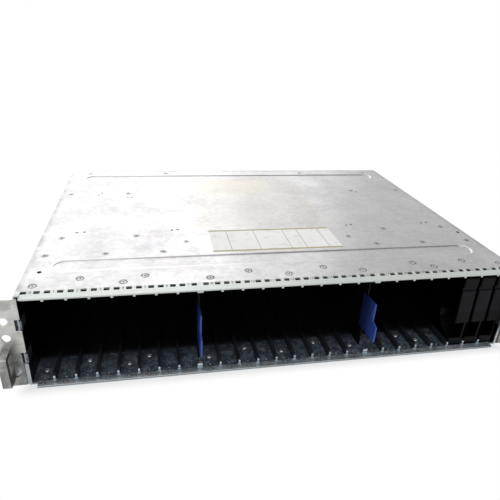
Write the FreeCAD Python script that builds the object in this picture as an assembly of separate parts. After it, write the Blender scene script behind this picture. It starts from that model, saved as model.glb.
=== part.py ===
import FreeCAD, Part
import math
import os

# Disk shelf enclosure: a 2U steel chassis for 25 slim drives that stand on edge, with its
# midplane, two power and cooling modules and two controller modules behind them.
# Millimetres. +X is to the right seen from the front, +Y runs to the rear, +Z is up.
# The origin is the centre of the underside.

# ---- chassis ---------------------------------------------------------------------------------
HEIGHT = 86.4               # underside to top sheet
DEPTH = 330.2               # front hem to rear edge
SHEET = 1.2                 # folded steel of tray, cover and ears
EAR_PROUD = 18.8            # each ear stands this far beyond the body
FLANGE = 14.0               # inward flange along the top of each side wall
FIT_GAP = 0.3               # clearance between neighbouring pieces
OVERCUT = 1.0               # a cutter runs this far past the face that it opens
LAP = 0.1                   # overlap of pieces that are then fused, and room round a picked edge

# ---- slots -----------------------------------------------------------------------------------
SLOT_PITCH = 17.44
COMPARTMENTS = (8, 9, 8)    # slots in each compartment, left to right
DIVIDER_ZONE = 2.1          # width that a divider takes between two compartments
FILLED_SLOTS = (22, 23, 24)

# ---- distances back from the front hem -------------------------------------------------------
EAR_FACE_SETBACK = 3.9
GUIDE_REAR = 150.0
MIDPLANE_SETBACK = 165.0

# ---- front hem of the tray and front strip of the cover --------------------------------------
HEM_INSET = 7.0             # the hem stops short of the side walls
HEM_DEPTH = 6.4
HEM_THICK = 2.2
PEG_HEIGHT = 4.6
PEG_FOOT = 3.0
PEG_NECK = 1.6
PEG_SHOULDER = 0.4          # share of the peg's height
DIVIDER_PEG = 5.3
DIVIDER_PEG_NECK = 4.2
STRIP_INSET = 3.7           # the strip stops short of the side walls
STRIP_SETBACK = 3.2
STRIP_BEND = 12.9           # where the cover bends down into the strip
STRIP_DROP = 1.5
STRIP_EDGE = 0.8
LIP_SETBACK = 7.1
LIP_BOTTOM = 5.1            # below the top sheet
TAB_DROP = 1.5
TAB_WIDTH = 2.0
DIVIDER_TAB = 5.0
PERF_SETBACK = 11.0
PERF_SPREAD = 4.84          # from the slot's centre
PERF_WIDTH = 4.6
PERF_LENGTH = 3.4

# ---- stiffening beads and rivets of the cover ------------------------------------------------
BEAD_INSET = 19.5           # bead ends stop short of the sides
BEAD_WIDTH = 21.6
BEAD_DEPTH = 0.8
BEAD_SETBACKS = (53.0, 299.0)
RIVET_R = 2.4
RIVET_GAP = 0.15
RIVET_HEAD = 1.0
FASTENER_SIDES = 6          # rivets and posts are six-sided studs
PIN_SIDES = 12              # pins and the fan's bore are twelve-sided, in round holes and on a round shaft
HOLE_SIDES = 12
ROUND_SIDES = 20            # flats round the larger circles
ARC_FLATS = 6               # flats along each bend of a moulded wall
OPEN_HOLES = ((-1, 11.9, 43.0), (1, 7.5, 94.0))     # side, inset from that side, setback
OPEN_HOLE_R = 2.0
RIVET_SETBACKS = (20.4, 29.2)
RIVET_SLOTS = ((0, 4, 8, 12, 16, 20, 24), (2, 5, 10, 14, 19, 22))

# ---- rack ears, handles and bezel clips ------------------------------------------------------
EAR_BOTTOM = 1.6
EAR_TOP_GAP = 1.5
EAR_CORNER_R = 2.5
EAR_LEG = 32.0
EAR_RIVET_SETBACK = 0.7     # share of the leg's length
EAR_RIVET_HEIGHTS = (0.2, 0.5, 0.8)     # shares of the height
RACK_HOLE_OUT = 10.06       # rack hole beyond the side wall
RACK_HOLE_DROP = 36.85      # lower hole below the top
RACK_HOLE_PITCH = 15.875
RACK_HOLE_R = 3.5
WINDOW_WIDTH = 4.3
WINDOW_UP = 23.0            # lower window above the underside
WINDOW_DROP = 20.0          # upper window below the top
WINDOW_HEIGHTS = (11.4, 10.4)
WINDOW_DEPTH = 3.6
CLIP_SHEET = 0.8
CLIP_LENGTH = 12.0
CLIP_INSET = 1.0            # clip edge inside the window's edge
HANDLE_OUT = 8.5            # near side of the handle, beyond the side wall
HANDLE_WIDTH = 6.3
HANDLE_REACH = 15.0
HANDLE_BOTTOM = 10.2
HANDLE_TOP = 40.5
HANDLE_BAR = 4.6
HANDLE_ARM = 4.4
HANDLE_CORNER_R = 3.0
PAD_THICK = 1.2
PAD_TOP = 33.4
PAD_BOTTOM = 2.4
PAD_INSET = 1.0             # pad edge inside the ear's outer edge
PAD_NEAR = 0.9              # pad edge beyond the side wall
PAD_WINDOW_R = 7.0
PAD_WINDOW_UP = 17.0

# ---- dividers --------------------------------------------------------------------------------
DIVIDER_SHEET = 1.0
DIVIDER_SETBACK = 20.0
CLIP_PLATE = 1.6            # thickness of the coloured clip
CLIP_CHEEK = 6.0
CLIP_LOW_FRONT = -5.5
CLIP_HIGH_FRONT = 2.5
CLIP_Z = (22.5, 39.5, 41.5, 59.5)
CLIP_SLOPE = 1.0            # rise of the clip's sloping edges
CLIP_LAP = 1.0              # cheeks and plate overlap by this much
CLIP_SLOT = (3.6, 5.2, 42.5, 53.0)
NOTCH_HEIGHTS = (0.35, 0.65)    # cable notch at the rear of a divider, shares of the height

# ---- drive guides ----------------------------------------------------------------------------
GUIDE_PLATE = 2.0
GUIDE_FRONT = 37.0          # the plate starts here, its ribs run further forward
RIB_FRONT = 8.5
RIB_WIDTH = 2.4
RIB_TOP = 7.2
CEILING_FRONT = 14.0
CEILING_RIB_DROP = 5.6

# ---- drive fillers ---------------------------------------------------------------------------
FILLER_FRONT = 4.2
FILLER_REAR = 46.0
FILLER_TOP_GAP = 0.6        # under the cover's tabs
FILLER_WALL = 1.6
PANEL_BOTTOM = 30.0
PANEL_THICK = 2.4
PANEL_LEAN = 1.8            # the panel's top stands this far behind its bottom
PANEL_BEVEL = 0.8
CAP_HEIGHT = 10.6
CAP_DEPTH = 3.2
CAP_RECESS = 3.2            # height of the recess between panel and cap
FOOT_FRONT = 6.7
FOOT_TOP = 10.0
MID_RIB = 43.0
# Finger pocket below the panel, (setback, height): floor, back, roof and the hook behind the panel
POCKET_FLOOR = (21.5, 14.2)
POCKET_BACK = (29.9, 29.0)
POCKET_BEND = (27.2, 36.9)
POCKET_ROOF = (18.0, 40.3)
HOOK_MID = (11.5, 38.0)
HOOK_END = (5.9, 32.4)

# ---- midplane --------------------------------------------------------------------------------
BOARD_THICK = 3.2
BOARD_INSET = 4.0           # from the side walls
BOARD_BOTTOM = 5.0
BOARD_TOP_GAP = 4.0         # under the cover
PLUG = (5.4, 12.0, 34.0)    # drive connector: width, depth, height
PLUG_BOTTOM = 18.0
VENT_WIDTH = 9.0
VENT_HEIGHT = 19.0
VENT_DROP = 5.2             # below the board's top edge
RAIL_HEIGHT = 12.0
RAIL_FOOT = 12.0
MODULE_PLUG = (46.0, 9.0, 9.0)
MODULE_MOUTH = (42.0, 4.5, 3.0)

# ---- module bays -----------------------------------------------------------------------------
MODULE_SETBACK = 14.0       # modules start this far behind the midplane board
POWER_BAY = 108.0           # clear width of each power module bay
BAY_SHEET = 1.0
MODULE_GAP = 0.5
MODULE_SHEET = 1.0
FACE_THICK = 1.6

# ---- power and cooling module ----------------------------------------------------------------
FAN_SIZE = 60.0
FAN_DEPTH = 25.0
FAN_WALL = 1.6              # least wall between the fan's bore and its sides
FAN_INSET = 2.0             # fan from the module's left side
HUB_R = 12.5
MOTOR_MOUNT = 2.4           # thickness of the motor mount and its struts
SHAFT_R = 2.5
SHAFT_PLAY = 0.06
SHAFT_LENGTH = 12.0
STRUTS = 4
STRUT_TURN = 45.0           # degrees from the horizontal
STRUT_LAP = 1.0             # struts run this far into the mount and the frame
BLADES = 7
BLADE_GAP = 0.9
BLADE_THICK = 1.4
BLADE_CHORD = 20.0
BLADE_PITCH = 40.0          # degrees out of the fan's axis
GRILLE_STARTS = (7.0, 14.0, 21.0)   # inner radius of each ring slot
GRILLE_BAR = 2.5            # bar left between two ring slots
GRILLE_MARGIN = 2.4         # the last ring slot stops this far inside the fan's bore
SPOKE = 3.0
INLET_INSET = 5.0           # inlet from the module's right side
INLET_UP = 24.0
INLET_BODY = (27.0, 16.0, 20.0)
INLET_CAVITY = (24.0, 13.0, 16.5)
INLET_RIM = 1.5
PIN = (2.0, 8.0, 4.0)
PIN_SPREAD = 7.0
PIN_LIFT = 2.0              # earth pin up, the other two down by this much
INLET_PLAY = 0.06
CORE_GAP = 8.0
FIN_COUNT = 8
CORE_BASE = 0.25            # share of the module's height
FIN_START = 0.3             # shares of the fin pitch
FIN_SHARE = 0.4

# ---- controller module -----------------------------------------------------------------------
CARD_DEPTH = 120.0
CARD_THICK = 1.6
CARD_UP = 5.0
POST_R = 3.0
POST_INSET = 15.0
SINK_XS = (-60.0, 45.0)
SINK_WIDTH = 44.0
SINK_DEPTH = 40.0
SINK_START = 0.25           # share of the card's depth
SINK_HEIGHT = 20.0
SINK_BASE = 4.0
SINK_FINS = 6
SINK_FIN = 2.0
PORT = (19.0, 24.0, 10.0)
PORT_CAVITY = (15.5, 12.0, 6.5)
PORT_XS = (-46.0, -18.0, 12.0)
PORT_PROUD = 1.0
PORT_GAP = 0.3
SLIT = (3.0, 9.0)
SLIT_PITCH = 7.0
SLITS = 8
SLIT_START = 32.0           # from the module's centre

# ---- latch levers ----------------------------------------------------------------------------
LEVER_THICK = 3.4
LEVER_WIDTH = 11.0
LEVER_LENGTH = 62.0
LEVER_OFF = 0.6             # clear of the face plate
LEVER_GRIP = 14.0           # length of the ramp at the free end
LEVER_RISE = 2.6            # height of that ramp
HEEL_R = 4.0
HEEL_SIDES = 12
PIVOT_R = 1.5
PIVOT_PLAY = 0.06
PIVOT_INSET = 7.0           # pivot from the end of the module
LUG_THICK = 1.8
POWER_LEVER_LENGTH = 56.0
POWER_LEVER_WIDTH = 8.0
POWER_LEVER_X = 66.0        # from the module's left side
POWER_PIVOT_UP = 10.0

# ---- worked out from the sizes above ---------------------------------------------------------
SLOT_COUNT = sum(COMPARTMENTS)
SLOT_SPAN = SLOT_COUNT * SLOT_PITCH + (len(COMPARTMENTS) - 1) * DIVIDER_ZONE
WIDTH = SLOT_SPAN + 4 * SHEET
HALF = WIDTH / 2
FRONT = -DEPTH / 2
REAR = DEPTH / 2
UNDER_COVER = HEIGHT - SHEET
UNDER_BEAD = UNDER_COVER - BEAD_DEPTH
BEAD_LENGTH = WIDTH - 2 * BEAD_INSET
FAN_BORE_R = FAN_SIZE / 2 - FAN_WALL
GRILLE_ENDS = [start - GRILLE_BAR for start in GRILLE_STARTS[1:]] + [FAN_BORE_R - GRILLE_MARGIN]
EAR_FACE = FRONT + EAR_FACE_SETBACK
EAR_TOP = HEIGHT - EAR_TOP_GAP
WINDOWS = ((WINDOW_UP, WINDOW_UP + WINDOW_HEIGHTS[0]),
           (HEIGHT - WINDOW_DROP - WINDOW_HEIGHTS[1], HEIGHT - WINDOW_DROP))
WALL_FRONT = EAR_FACE + SHEET
BOARD_FRONT = FRONT + MIDPLANE_SETBACK
BOARD_BACK = BOARD_FRONT + BOARD_THICK
MODULE_FRONT = BOARD_BACK + MODULE_SETBACK
PARTITION_X = HALF - SHEET - POWER_BAY - BAY_SHEET / 2
SHELF_Z = HEIGHT / 2


# ---- small helpers ---------------------------------------------------------------------------
def box(x0, x1, y0, y1, z0, z1):
    """Box between two corners."""
    return Part.makeBox(x1 - x0, y1 - y0, z1 - z0, FreeCAD.Vector(x0, y0, z0))


def fuse(shapes):
    """One solid from several that touch or overlap."""
    return shapes[0].multiFuse(shapes[1:]).removeSplitter()


def cylinder(centre, axis, radius, length):
    """Cylinder that starts at centre and runs along axis."""
    return Part.makeCylinder(radius, length, FreeCAD.Vector(*centre), FreeCAD.Vector(*axis))


def stud(centre, axis, radius, length, sides=FASTENER_SIDES):
    """Many-sided stud or hole that starts at centre and runs along axis."""
    turns = [2 * math.pi * number / sides for number in range(sides + 1)]
    corners = [FreeCAD.Vector(radius * math.cos(turn), radius * math.sin(turn), 0) for turn in turns]
    shape = Part.Face(Part.makePolygon(corners)).extrude(FreeCAD.Vector(0, 0, length))
    upright = FreeCAD.Vector(0, 0, 1)
    shape.Placement = FreeCAD.Placement(FreeCAD.Vector(*centre),
                                        FreeCAD.Rotation(upright, FreeCAD.Vector(*axis)))
    return shape


def profile_yz(points, x0, x1):
    """Closed outline of (y, z) points, extruded from x0 to x1."""
    corners = [FreeCAD.Vector(x0, y, z) for y, z in points]
    wire = Part.makePolygon(corners + corners[:1])
    return Part.Face(wire).extrude(FreeCAD.Vector(x1 - x0, 0, 0))


def profile_xz(points, y0, y1):
    """Closed outline of (x, z) points, extruded from y0 to y1."""
    corners = [FreeCAD.Vector(x, y0, z) for x, z in points]
    wire = Part.makePolygon(corners + corners[:1])
    return Part.Face(wire).extrude(FreeCAD.Vector(0, y1 - y0, 0))


def arc_path(*points):
    """Path of short flats through arcs: start, then a middle and an end point for each arc."""
    path = [points[0]]
    for start, middle, end in zip(points[::2], points[1::2], points[2::2]):
        arc = Part.Arc(*[FreeCAD.Vector(0, y, z) for y, z in (start, middle, end)]).toShape()
        path += [(spot.y, spot.z) for spot in arc.discretize(ARC_FLATS + 1)[1:]]
    return path


def bent_wall(path, thick, x0, x1):
    """Wall of even thickness on the right-hand side of a path of (y, z) points."""
    normals = []
    for (y0, z0), (y1, z1) in zip(path, path[1:]):
        length = math.dist((y0, z0), (y1, z1))
        normals.append(((z1 - z0) / length, (y0 - y1) / length))
    outer = []
    for (y, z), before, after in zip(path, normals[:1] + normals, normals + normals[-1:]):
        share = thick / (1 + before[0] * after[0] + before[1] * after[1])
        outer.append((y + share * (before[0] + after[0]), z + share * (before[1] + after[1])))
    return profile_yz(path + outer[::-1], x0, x1)


def round_edges(shape, radius, pick):
    """Fillet the edges whose middle point pick accepts."""
    edges = [e for e in shape.Edges if pick(e.CenterOfMass, e)]
    return shape.makeFillet(radius, edges)


def bevel_edges(shape, size, pick):
    """Chamfer the edges whose middle point pick accepts."""
    edges = [e for e in shape.Edges if pick(e.CenterOfMass, e)]
    return shape.makeChamfer(size, edges)


def along(edge, axis):
    """True where a straight edge runs along the axis with this index."""
    start, end = edge.Vertexes[0].Point, edge.Vertexes[-1].Point
    others = [abs(end[i] - start[i]) for i in range(3) if i != axis]
    return max(others) < 1e-6 and abs(end[axis] - start[axis]) > 1e-6


def mirrored(shape):
    """The same piece on the other side of the centre plane."""
    return shape.mirror(FreeCAD.Vector(0, 0, 0), FreeCAD.Vector(1, 0, 0))


def stadium(setback, length, width, z0, z1):
    """Long slot shape with round ends, along X, centred on X = 0."""
    r = width / 2
    y = FRONT + setback
    straight = length / 2 - r
    middle = box(-straight, straight, y - r, y + r, z0, z1)
    ends = [cylinder((side * straight, y, z0), (0, 0, 1), r, z1 - z0) for side in (-1, 1)]
    return fuse([middle] + ends)


# ---- slot layout -----------------------------------------------------------------------------
def slot_layout():
    """Left edge of every slot, the plain slot edges, and the centres of the divider zones."""
    x = -SLOT_SPAN / 2
    lefts, edges, dividers = [], [], []
    for group, count in enumerate(COMPARTMENTS):
        if group:
            dividers.append(x + DIVIDER_ZONE / 2)
            x += DIVIDER_ZONE
        for slot in range(count):
            if slot:
                edges.append(x)
            lefts.append(x)
            x += SLOT_PITCH
    return lefts, edges, dividers


SLOT_LEFTS, SLOT_EDGES, DIVIDER_XS = slot_layout()


def slot_centre(slot):
    """Middle of a slot, counted from 0 at the left."""
    return SLOT_LEFTS[slot] + SLOT_PITCH / 2


def compartment_span(group):
    """Left and right limits of one compartment."""
    first = sum(COMPARTMENTS[:group])
    left = SLOT_LEFTS[first]
    return left, left + COMPARTMENTS[group] * SLOT_PITCH


def rivet_spots():
    """(x, y) of the rivets that hold the drive guides, the same above and below."""
    return [(slot_centre(slot), FRONT + setback)
            for setback, slots in zip(RIVET_SETBACKS, RIVET_SLOTS) for slot in slots]


def open_hole_spots():
    """(x, y) of the open holes through the cover and the tray's flanges."""
    return [(side * (HALF - inset), FRONT + setback) for side, inset, setback in OPEN_HOLES]


def ear_rivet_spots():
    """(y, z) of the rivets between each ear's leg and its side wall."""
    y = EAR_FACE + EAR_LEG * EAR_RIVET_SETBACK
    return [(y, HEIGHT * share) for share in EAR_RIVET_HEIGHTS]


# ---- tray ------------------------------------------------------------------------------------
def peg(x, foot, neck):
    """Small upright peg on the front hem at a slot edge."""
    shoulder = HEM_THICK + PEG_HEIGHT * PEG_SHOULDER
    top = HEM_THICK + PEG_HEIGHT
    outline = [(x - foot / 2, HEM_THICK), (x + foot / 2, HEM_THICK), (x + neck / 2, shoulder),
               (x + neck / 2, top), (x - neck / 2, top), (x - neck / 2, shoulder)]
    y = FRONT + HEM_DEPTH
    return profile_xz(outline, y - SHEET, y)


def chassis_tray():
    """Floor, side walls with inward flanges, and the front hem with its pegs."""
    lip = HALF - HEM_INSET
    floor = box(-HALF, HALF, WALL_FRONT, REAR, 0, SHEET)
    apron = box(-lip, lip, FRONT, WALL_FRONT, 0, SHEET)
    hem = box(-lip, lip, FRONT, FRONT + HEM_DEPTH, 0, HEM_THICK)
    pieces = [floor, apron, hem]
    for side in (-1, 1):
        wall = box(-HALF, -HALF + SHEET, WALL_FRONT, REAR, 0, UNDER_COVER)
        flange = box(-HALF, -HALF + FLANGE, FRONT + STRIP_BEND, REAR, UNDER_COVER - SHEET, UNDER_COVER)
        pieces += [wall, flange] if side < 0 else [mirrored(wall), mirrored(flange)]
    pieces += [peg(x, PEG_FOOT, PEG_NECK) for x in SLOT_EDGES]
    pieces += [peg(x, DIVIDER_PEG, DIVIDER_PEG_NECK) for x in DIVIDER_XS]
    tray = fuse(pieces)
    holes = [stud((-HALF - OVERCUT, y, z), (1, 0, 0), RIVET_R + RIVET_GAP, SHEET + OVERCUT)
             for y, z in ear_rivet_spots()]
    holes += [mirrored(hole) for hole in holes]
    flange_z = UNDER_COVER - SHEET - OVERCUT
    through = SHEET + 2 * OVERCUT
    holes += [stud((x, y, flange_z), (0, 0, 1), OPEN_HOLE_R, through, HOLE_SIDES)
              for x, y in open_hole_spots()]
    return tray.cut(Part.makeCompound(holes))


# ---- cover -----------------------------------------------------------------------------------
def cover_tab(x, width):
    """Tab that hangs from the cover's lip at a slot edge."""
    y = FRONT + LIP_SETBACK
    z = HEIGHT - LIP_BOTTOM
    return box(x - width / 2, x + width / 2, y, y + SHEET, z - TAB_DROP, z + SHEET / 2)


def top_cover():
    """Top sheet with its sloped front strip, hem, lip, tabs, perforations, beads and holes."""
    bend = FRONT + STRIP_BEND
    strip_half = HALF - STRIP_INSET
    sheet = box(-HALF, HALF, bend, REAR, UNDER_COVER, HEIGHT)
    margin = box(-HALF, -strip_half, WALL_FRONT + 3 * FIT_GAP, bend, UNDER_COVER, HEIGHT)
    edge_top = HEIGHT - STRIP_DROP
    lip_front = FRONT + LIP_SETBACK
    lip_back = lip_front + SHEET
    lip_z = HEIGHT - LIP_BOTTOM
    strip = profile_yz([(bend, HEIGHT), (FRONT + STRIP_SETBACK, edge_top),
                        (FRONT + STRIP_SETBACK, edge_top - STRIP_EDGE),
                        (lip_front, lip_z + 2 * SHEET), (lip_front, lip_z), (lip_back, lip_z),
                        (lip_back, edge_top - SHEET), (bend, UNDER_COVER)], -strip_half, strip_half)
    tabs = [cover_tab(x, TAB_WIDTH) for x in SLOT_EDGES]
    tabs += [cover_tab(x, DIVIDER_TAB) for x in DIVIDER_XS]
    cover = fuse([sheet, margin, mirrored(margin), strip] + tabs)
    bead_floor = UNDER_COVER - BEAD_DEPTH
    for setback in BEAD_SETBACKS:
        pan = stadium(setback, BEAD_LENGTH, BEAD_WIDTH, bead_floor, UNDER_COVER + LAP)
        dent = stadium(setback, BEAD_LENGTH - 2 * SHEET, BEAD_WIDTH - 2 * SHEET,
                       HEIGHT - BEAD_DEPTH, HEIGHT + OVERCUT)
        cover = cover.fuse(pan).cut(dent)
    cuts = []
    half_length = PERF_LENGTH / 2
    for slot in range(SLOT_COUNT):
        for side in (-1, 1):
            x = slot_centre(slot) + side * PERF_SPREAD
            y = FRONT + PERF_SETBACK
            cuts.append(box(x - PERF_WIDTH / 2, x + PERF_WIDTH / 2, y - half_length, y + half_length,
                            UNDER_COVER - 3 * SHEET, HEIGHT + OVERCUT))
    start = UNDER_COVER - OVERCUT
    through = SHEET + 2 * OVERCUT
    for x, y in rivet_spots():
        cuts.append(stud((x, y, start), (0, 0, 1), RIVET_R + RIVET_GAP, through))
    for x, y in open_hole_spots():
        cuts.append(stud((x, y, start), (0, 0, 1), OPEN_HOLE_R, through, HOLE_SIDES))
    return cover.cut(Part.makeCompound(cuts)).removeSplitter()


def cover_rivets():
    """Flush rivets of the cover, which hold the ceiling guides."""
    return Part.makeCompound([stud((x, y, UNDER_COVER), (0, 0, 1), RIVET_R, SHEET)
                              for x, y in rivet_spots()])


def floor_rivets():
    """Raised rivet heads on the floor in front of the guide plates."""
    return Part.makeCompound([stud((x, y, SHEET), (0, 0, 1), RIVET_R, RIVET_HEAD)
                              for x, y in rivet_spots()])


def ear_rivets():
    """Flush rivets through the side walls into the legs of the ears."""
    left = [stud((-HALF, y, z), (1, 0, 0), RIVET_R, SHEET) for y, z in ear_rivet_spots()]
    return Part.makeCompound(left + [mirrored(rivet) for rivet in left])


# ---- ears ------------------------------------------------------------------------------------
def rack_ear():
    """Left ear: an L bracket with rack holes and clip windows; its leg lines the side wall."""
    outer = -HALF - EAR_PROUD
    inner = -HALF + 2 * SHEET
    face = box(outer, inner, EAR_FACE, WALL_FRONT, EAR_BOTTOM, EAR_TOP)
    face = round_edges(face, EAR_CORNER_R, lambda c, e: along(e, 1) and c.x < outer + LAP)
    leg = box(-HALF + SHEET, inner, EAR_FACE, EAR_FACE + EAR_LEG, EAR_BOTTOM,
              UNDER_COVER - SHEET - FIT_GAP)
    ear = fuse([face, leg])
    cuts = []
    for step in (0, 1):
        z = HEIGHT - RACK_HOLE_DROP + step * RACK_HOLE_PITCH
        cuts.append(cylinder((-HALF - RACK_HOLE_OUT, EAR_FACE - OVERCUT, z), (0, 1, 0), RACK_HOLE_R,
                             SHEET + 2 * OVERCUT))
    for low, high in WINDOWS:
        cuts.append(box(inner - WINDOW_WIDTH, inner + OVERCUT, EAR_FACE - OVERCUT,
                        EAR_FACE + WINDOW_DEPTH, low, high))
    return ear.cut(Part.makeCompound(cuts))


def bezel_clips():
    """Spring strips beside the windows of both ears."""
    inner = -HALF + 2 * SHEET
    clips = []
    for low, high in WINDOWS:
        bottom, top = low + CLIP_INSET, high - CLIP_INSET
        strip = box(inner, inner + CLIP_SHEET, EAR_FACE, EAR_FACE + CLIP_LENGTH, bottom, top)
        barb = profile_xz([(inner, bottom), (inner, top), (inner - CLIP_SHEET, top - CLIP_INSET),
                           (inner - CLIP_SHEET, bottom + CLIP_INSET)], EAR_FACE, EAR_FACE + CLIP_SHEET)
        clips.append(fuse([strip, barb]))
    return Part.makeCompound(clips + [mirrored(clip) for clip in clips])


def ear_handle():
    """Left pull handle: a cast bar on two arms with a pad against the ear."""
    near = -HALF - HANDLE_OUT
    far = near - HANDLE_WIDTH
    bar_front = EAR_FACE - HANDLE_REACH
    block = box(far, near, bar_front, EAR_FACE, HANDLE_BOTTOM, HANDLE_TOP)
    block = round_edges(block, HANDLE_CORNER_R, lambda c, e: along(e, 0) and c.y < bar_front + LAP)
    gap_front = bar_front + HANDLE_BAR
    gap_top = HANDLE_TOP - HANDLE_ARM
    gap_low = HANDLE_BOTTOM + HANDLE_ARM * 2
    gap = profile_yz([(gap_front, gap_low), (gap_front, gap_top), (EAR_FACE - PAD_THICK, gap_top),
                      (EAR_FACE - PAD_THICK, gap_low + HANDLE_ARM)], far - OVERCUT, near + OVERCUT)
    pad = box(-HALF - EAR_PROUD + PAD_INSET, -HALF - PAD_NEAR, EAR_FACE - PAD_THICK, EAR_FACE,
              PAD_BOTTOM, PAD_TOP)
    window = stud((-HALF - RACK_HOLE_OUT, EAR_FACE - PAD_THICK - OVERCUT, PAD_WINDOW_UP),
                  (0, 1, 0), PAD_WINDOW_R, PAD_THICK + OVERCUT, HOLE_SIDES)
    return fuse([block.cut(gap), pad.cut(window)])


# ---- dividers and guides ---------------------------------------------------------------------
def divider_wall(x):
    """Steel wall between two compartments, from near the front to the midplane."""
    half = DIVIDER_SHEET / 2
    wall = box(x - half, x + half, FRONT + DIVIDER_SETBACK, BOARD_FRONT, SHEET, UNDER_BEAD)
    low, high = (HEIGHT * share for share in NOTCH_HEIGHTS)
    return wall.cut(box(x - SHEET, x + SHEET, FRONT + GUIDE_REAR, BOARD_FRONT + OVERCUT,
                        low, high))


def divider_clip(x):
    """Coloured clip on the front edge of a divider wall, with a stepped nose and a slot."""
    half = CLIP_PLATE / 2
    cheek = DIVIDER_ZONE / 2
    wall = DIVIDER_SHEET / 2
    edge = FRONT + DIVIDER_SETBACK
    low_z, step_low, step_high, top_z = CLIP_Z
    low_front, high_front = FRONT + CLIP_LOW_FRONT, FRONT + CLIP_HIGH_FRONT
    outline = [(edge, low_z), (low_front, low_z + CLIP_SLOPE), (low_front, step_low),
               (high_front, step_high), (high_front, top_z), (edge, top_z - CLIP_SLOPE)]
    plate = profile_yz(outline, x - half, x + half)
    y0, y1, z0, z1 = CLIP_SLOT
    plate = plate.cut(box(x - cheek, x + cheek, FRONT + y0, FRONT + y1, z0, z1))
    cheeks = [box(x0, x1, edge - CLIP_LAP, edge + CLIP_CHEEK, low_z, top_z - CLIP_SLOPE)
              for x0, x1 in ((x - cheek, x - wall), (x + wall, x + cheek))]
    return fuse([plate] + cheeks)


def guide(group, plate_front, rib_front, plate_z, rib_z):
    """Comb-shaped drive guide of one compartment: a plate and a rib at every slot edge."""
    left, right = compartment_span(group)
    rear = FRONT + GUIDE_REAR
    pieces = [box(left + FIT_GAP, right - FIT_GAP, FRONT + plate_front, rear, *plate_z)]
    half = RIB_WIDTH / 2
    for x in SLOT_EDGES:
        if left < x < right:
            pieces.append(box(x - half, x + half, FRONT + rib_front, rear, *rib_z))
    return fuse(pieces)


def floor_guide(group):
    """Guide on the tray's floor."""
    return guide(group, GUIDE_FRONT, RIB_FRONT, (SHEET, SHEET + GUIDE_PLATE), (SHEET, RIB_TOP))


def ceiling_guide(group):
    """Guide under the cover, notched round the flanges of the tray and the front bead."""
    comb = guide(group, CEILING_FRONT, CEILING_FRONT, (UNDER_COVER - GUIDE_PLATE, UNDER_COVER),
                 (UNDER_COVER - CEILING_RIB_DROP, UNDER_COVER))
    flange_edge = HALF - FLANGE - FIT_GAP
    notch = box(flange_edge, HALF, FRONT, REAR, UNDER_COVER - SHEET, HEIGHT)
    bead = stadium(BEAD_SETBACKS[0], BEAD_LENGTH + FIT_GAP, BEAD_WIDTH + FIT_GAP,
                   UNDER_COVER - BEAD_DEPTH, HEIGHT)
    return comb.cut(Part.makeCompound([notch, mirrored(notch), bead]))


# ---- drive filler ----------------------------------------------------------------------------
def drive_filler(slot):
    """Moulded filler for an empty slot: leaning panel, cap, foot and finger pocket on a side web."""
    half = SLOT_PITCH / 2 - RIB_WIDTH / 2 - FIT_GAP
    x0 = slot_centre(slot) - half
    x1 = slot_centre(slot) + half
    wall = FILLER_WALL
    top = HEIGHT - LIP_BOTTOM - TAB_DROP - FILLER_TOP_GAP
    bottom = SHEET + GUIDE_PLATE + FIT_GAP
    cap_bottom = top - CAP_HEIGHT
    panel_top = cap_bottom - CAP_RECESS
    front, foot, rear = FRONT + FILLER_FRONT, FRONT + FOOT_FRONT, FRONT + FILLER_REAR
    cap_front = front + PANEL_LEAN
    recess = cap_front + CAP_DEPTH

    pocket = [(FOOT_FRONT + PANEL_BEVEL, FOOT_TOP - wall), POCKET_FLOOR, POCKET_BACK, POCKET_BEND,
              POCKET_ROOF, HOOK_MID, HOOK_END]
    panel = profile_yz([(front, PANEL_BOTTOM), (cap_front, panel_top),
                        (cap_front + PANEL_THICK, panel_top), (front + PANEL_THICK, PANEL_BOTTOM)], x0, x1)
    slope = PANEL_LEAN / (panel_top - PANEL_BOTTOM)
    panel = bevel_edges(panel, PANEL_BEVEL,
                        lambda c, e: c.y < front + slope * (c.z - PANEL_BOTTOM) + PANEL_BEVEL / 2)
    cap = bevel_edges(box(x0, x1, cap_front, recess, cap_bottom, top), PANEL_BEVEL,
                      lambda c, e: c.y < cap_front + PANEL_BEVEL / 2)
    toe = bevel_edges(box(x0, x1, foot, foot + PANEL_THICK, bottom, FOOT_TOP), PANEL_BEVEL,
                      lambda c, e: c.y < foot + PANEL_BEVEL / 2 and c.z > bottom)
    pieces = [
        bent_wall(arc_path(*[(FRONT + setback, z) for setback, z in pocket]), wall, x0, x1),
        panel,
        cap,
        toe,
        box(x0, x1, recess - wall, recess, panel_top - wall, cap_bottom + wall),
        box(x0, x1, cap_front + PANEL_THICK - wall, recess, panel_top - wall, panel_top),
        box(x0, x1, recess - wall, rear, top - wall, top),
        box(x0, x1, front + PANEL_THICK, rear, MID_RIB, MID_RIB + wall),
        box(x0, x1, foot + PANEL_BEVEL, rear, bottom, bottom + wall),
        box(x0, x1, rear - wall, rear, bottom, top),
        box(x1 - wall, x1, recess - wall, rear, bottom, top),
        box(x1 - wall, x1, foot + PANEL_BEVEL, recess, bottom, POCKET_ROOF[1]),
    ]
    return fuse(pieces)


# ---- midplane --------------------------------------------------------------------------------
def midplane_board():
    """Circuit board across the chassis with an air window behind every slot."""
    half = HALF - SHEET - BOARD_INSET
    board_top = UNDER_COVER - BOARD_TOP_GAP
    board = box(-half, half, BOARD_FRONT, BOARD_BACK, BOARD_BOTTOM, board_top)
    vent_top = board_top - VENT_DROP
    vents = []
    for slot in range(SLOT_COUNT):
        left = slot_centre(slot) - VENT_WIDTH / 2
        vents.append(box(left, left + VENT_WIDTH, BOARD_FRONT - OVERCUT, BOARD_BACK + OVERCUT,
                         vent_top - VENT_HEIGHT, vent_top))
    return board.cut(Part.makeCompound(vents))


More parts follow.
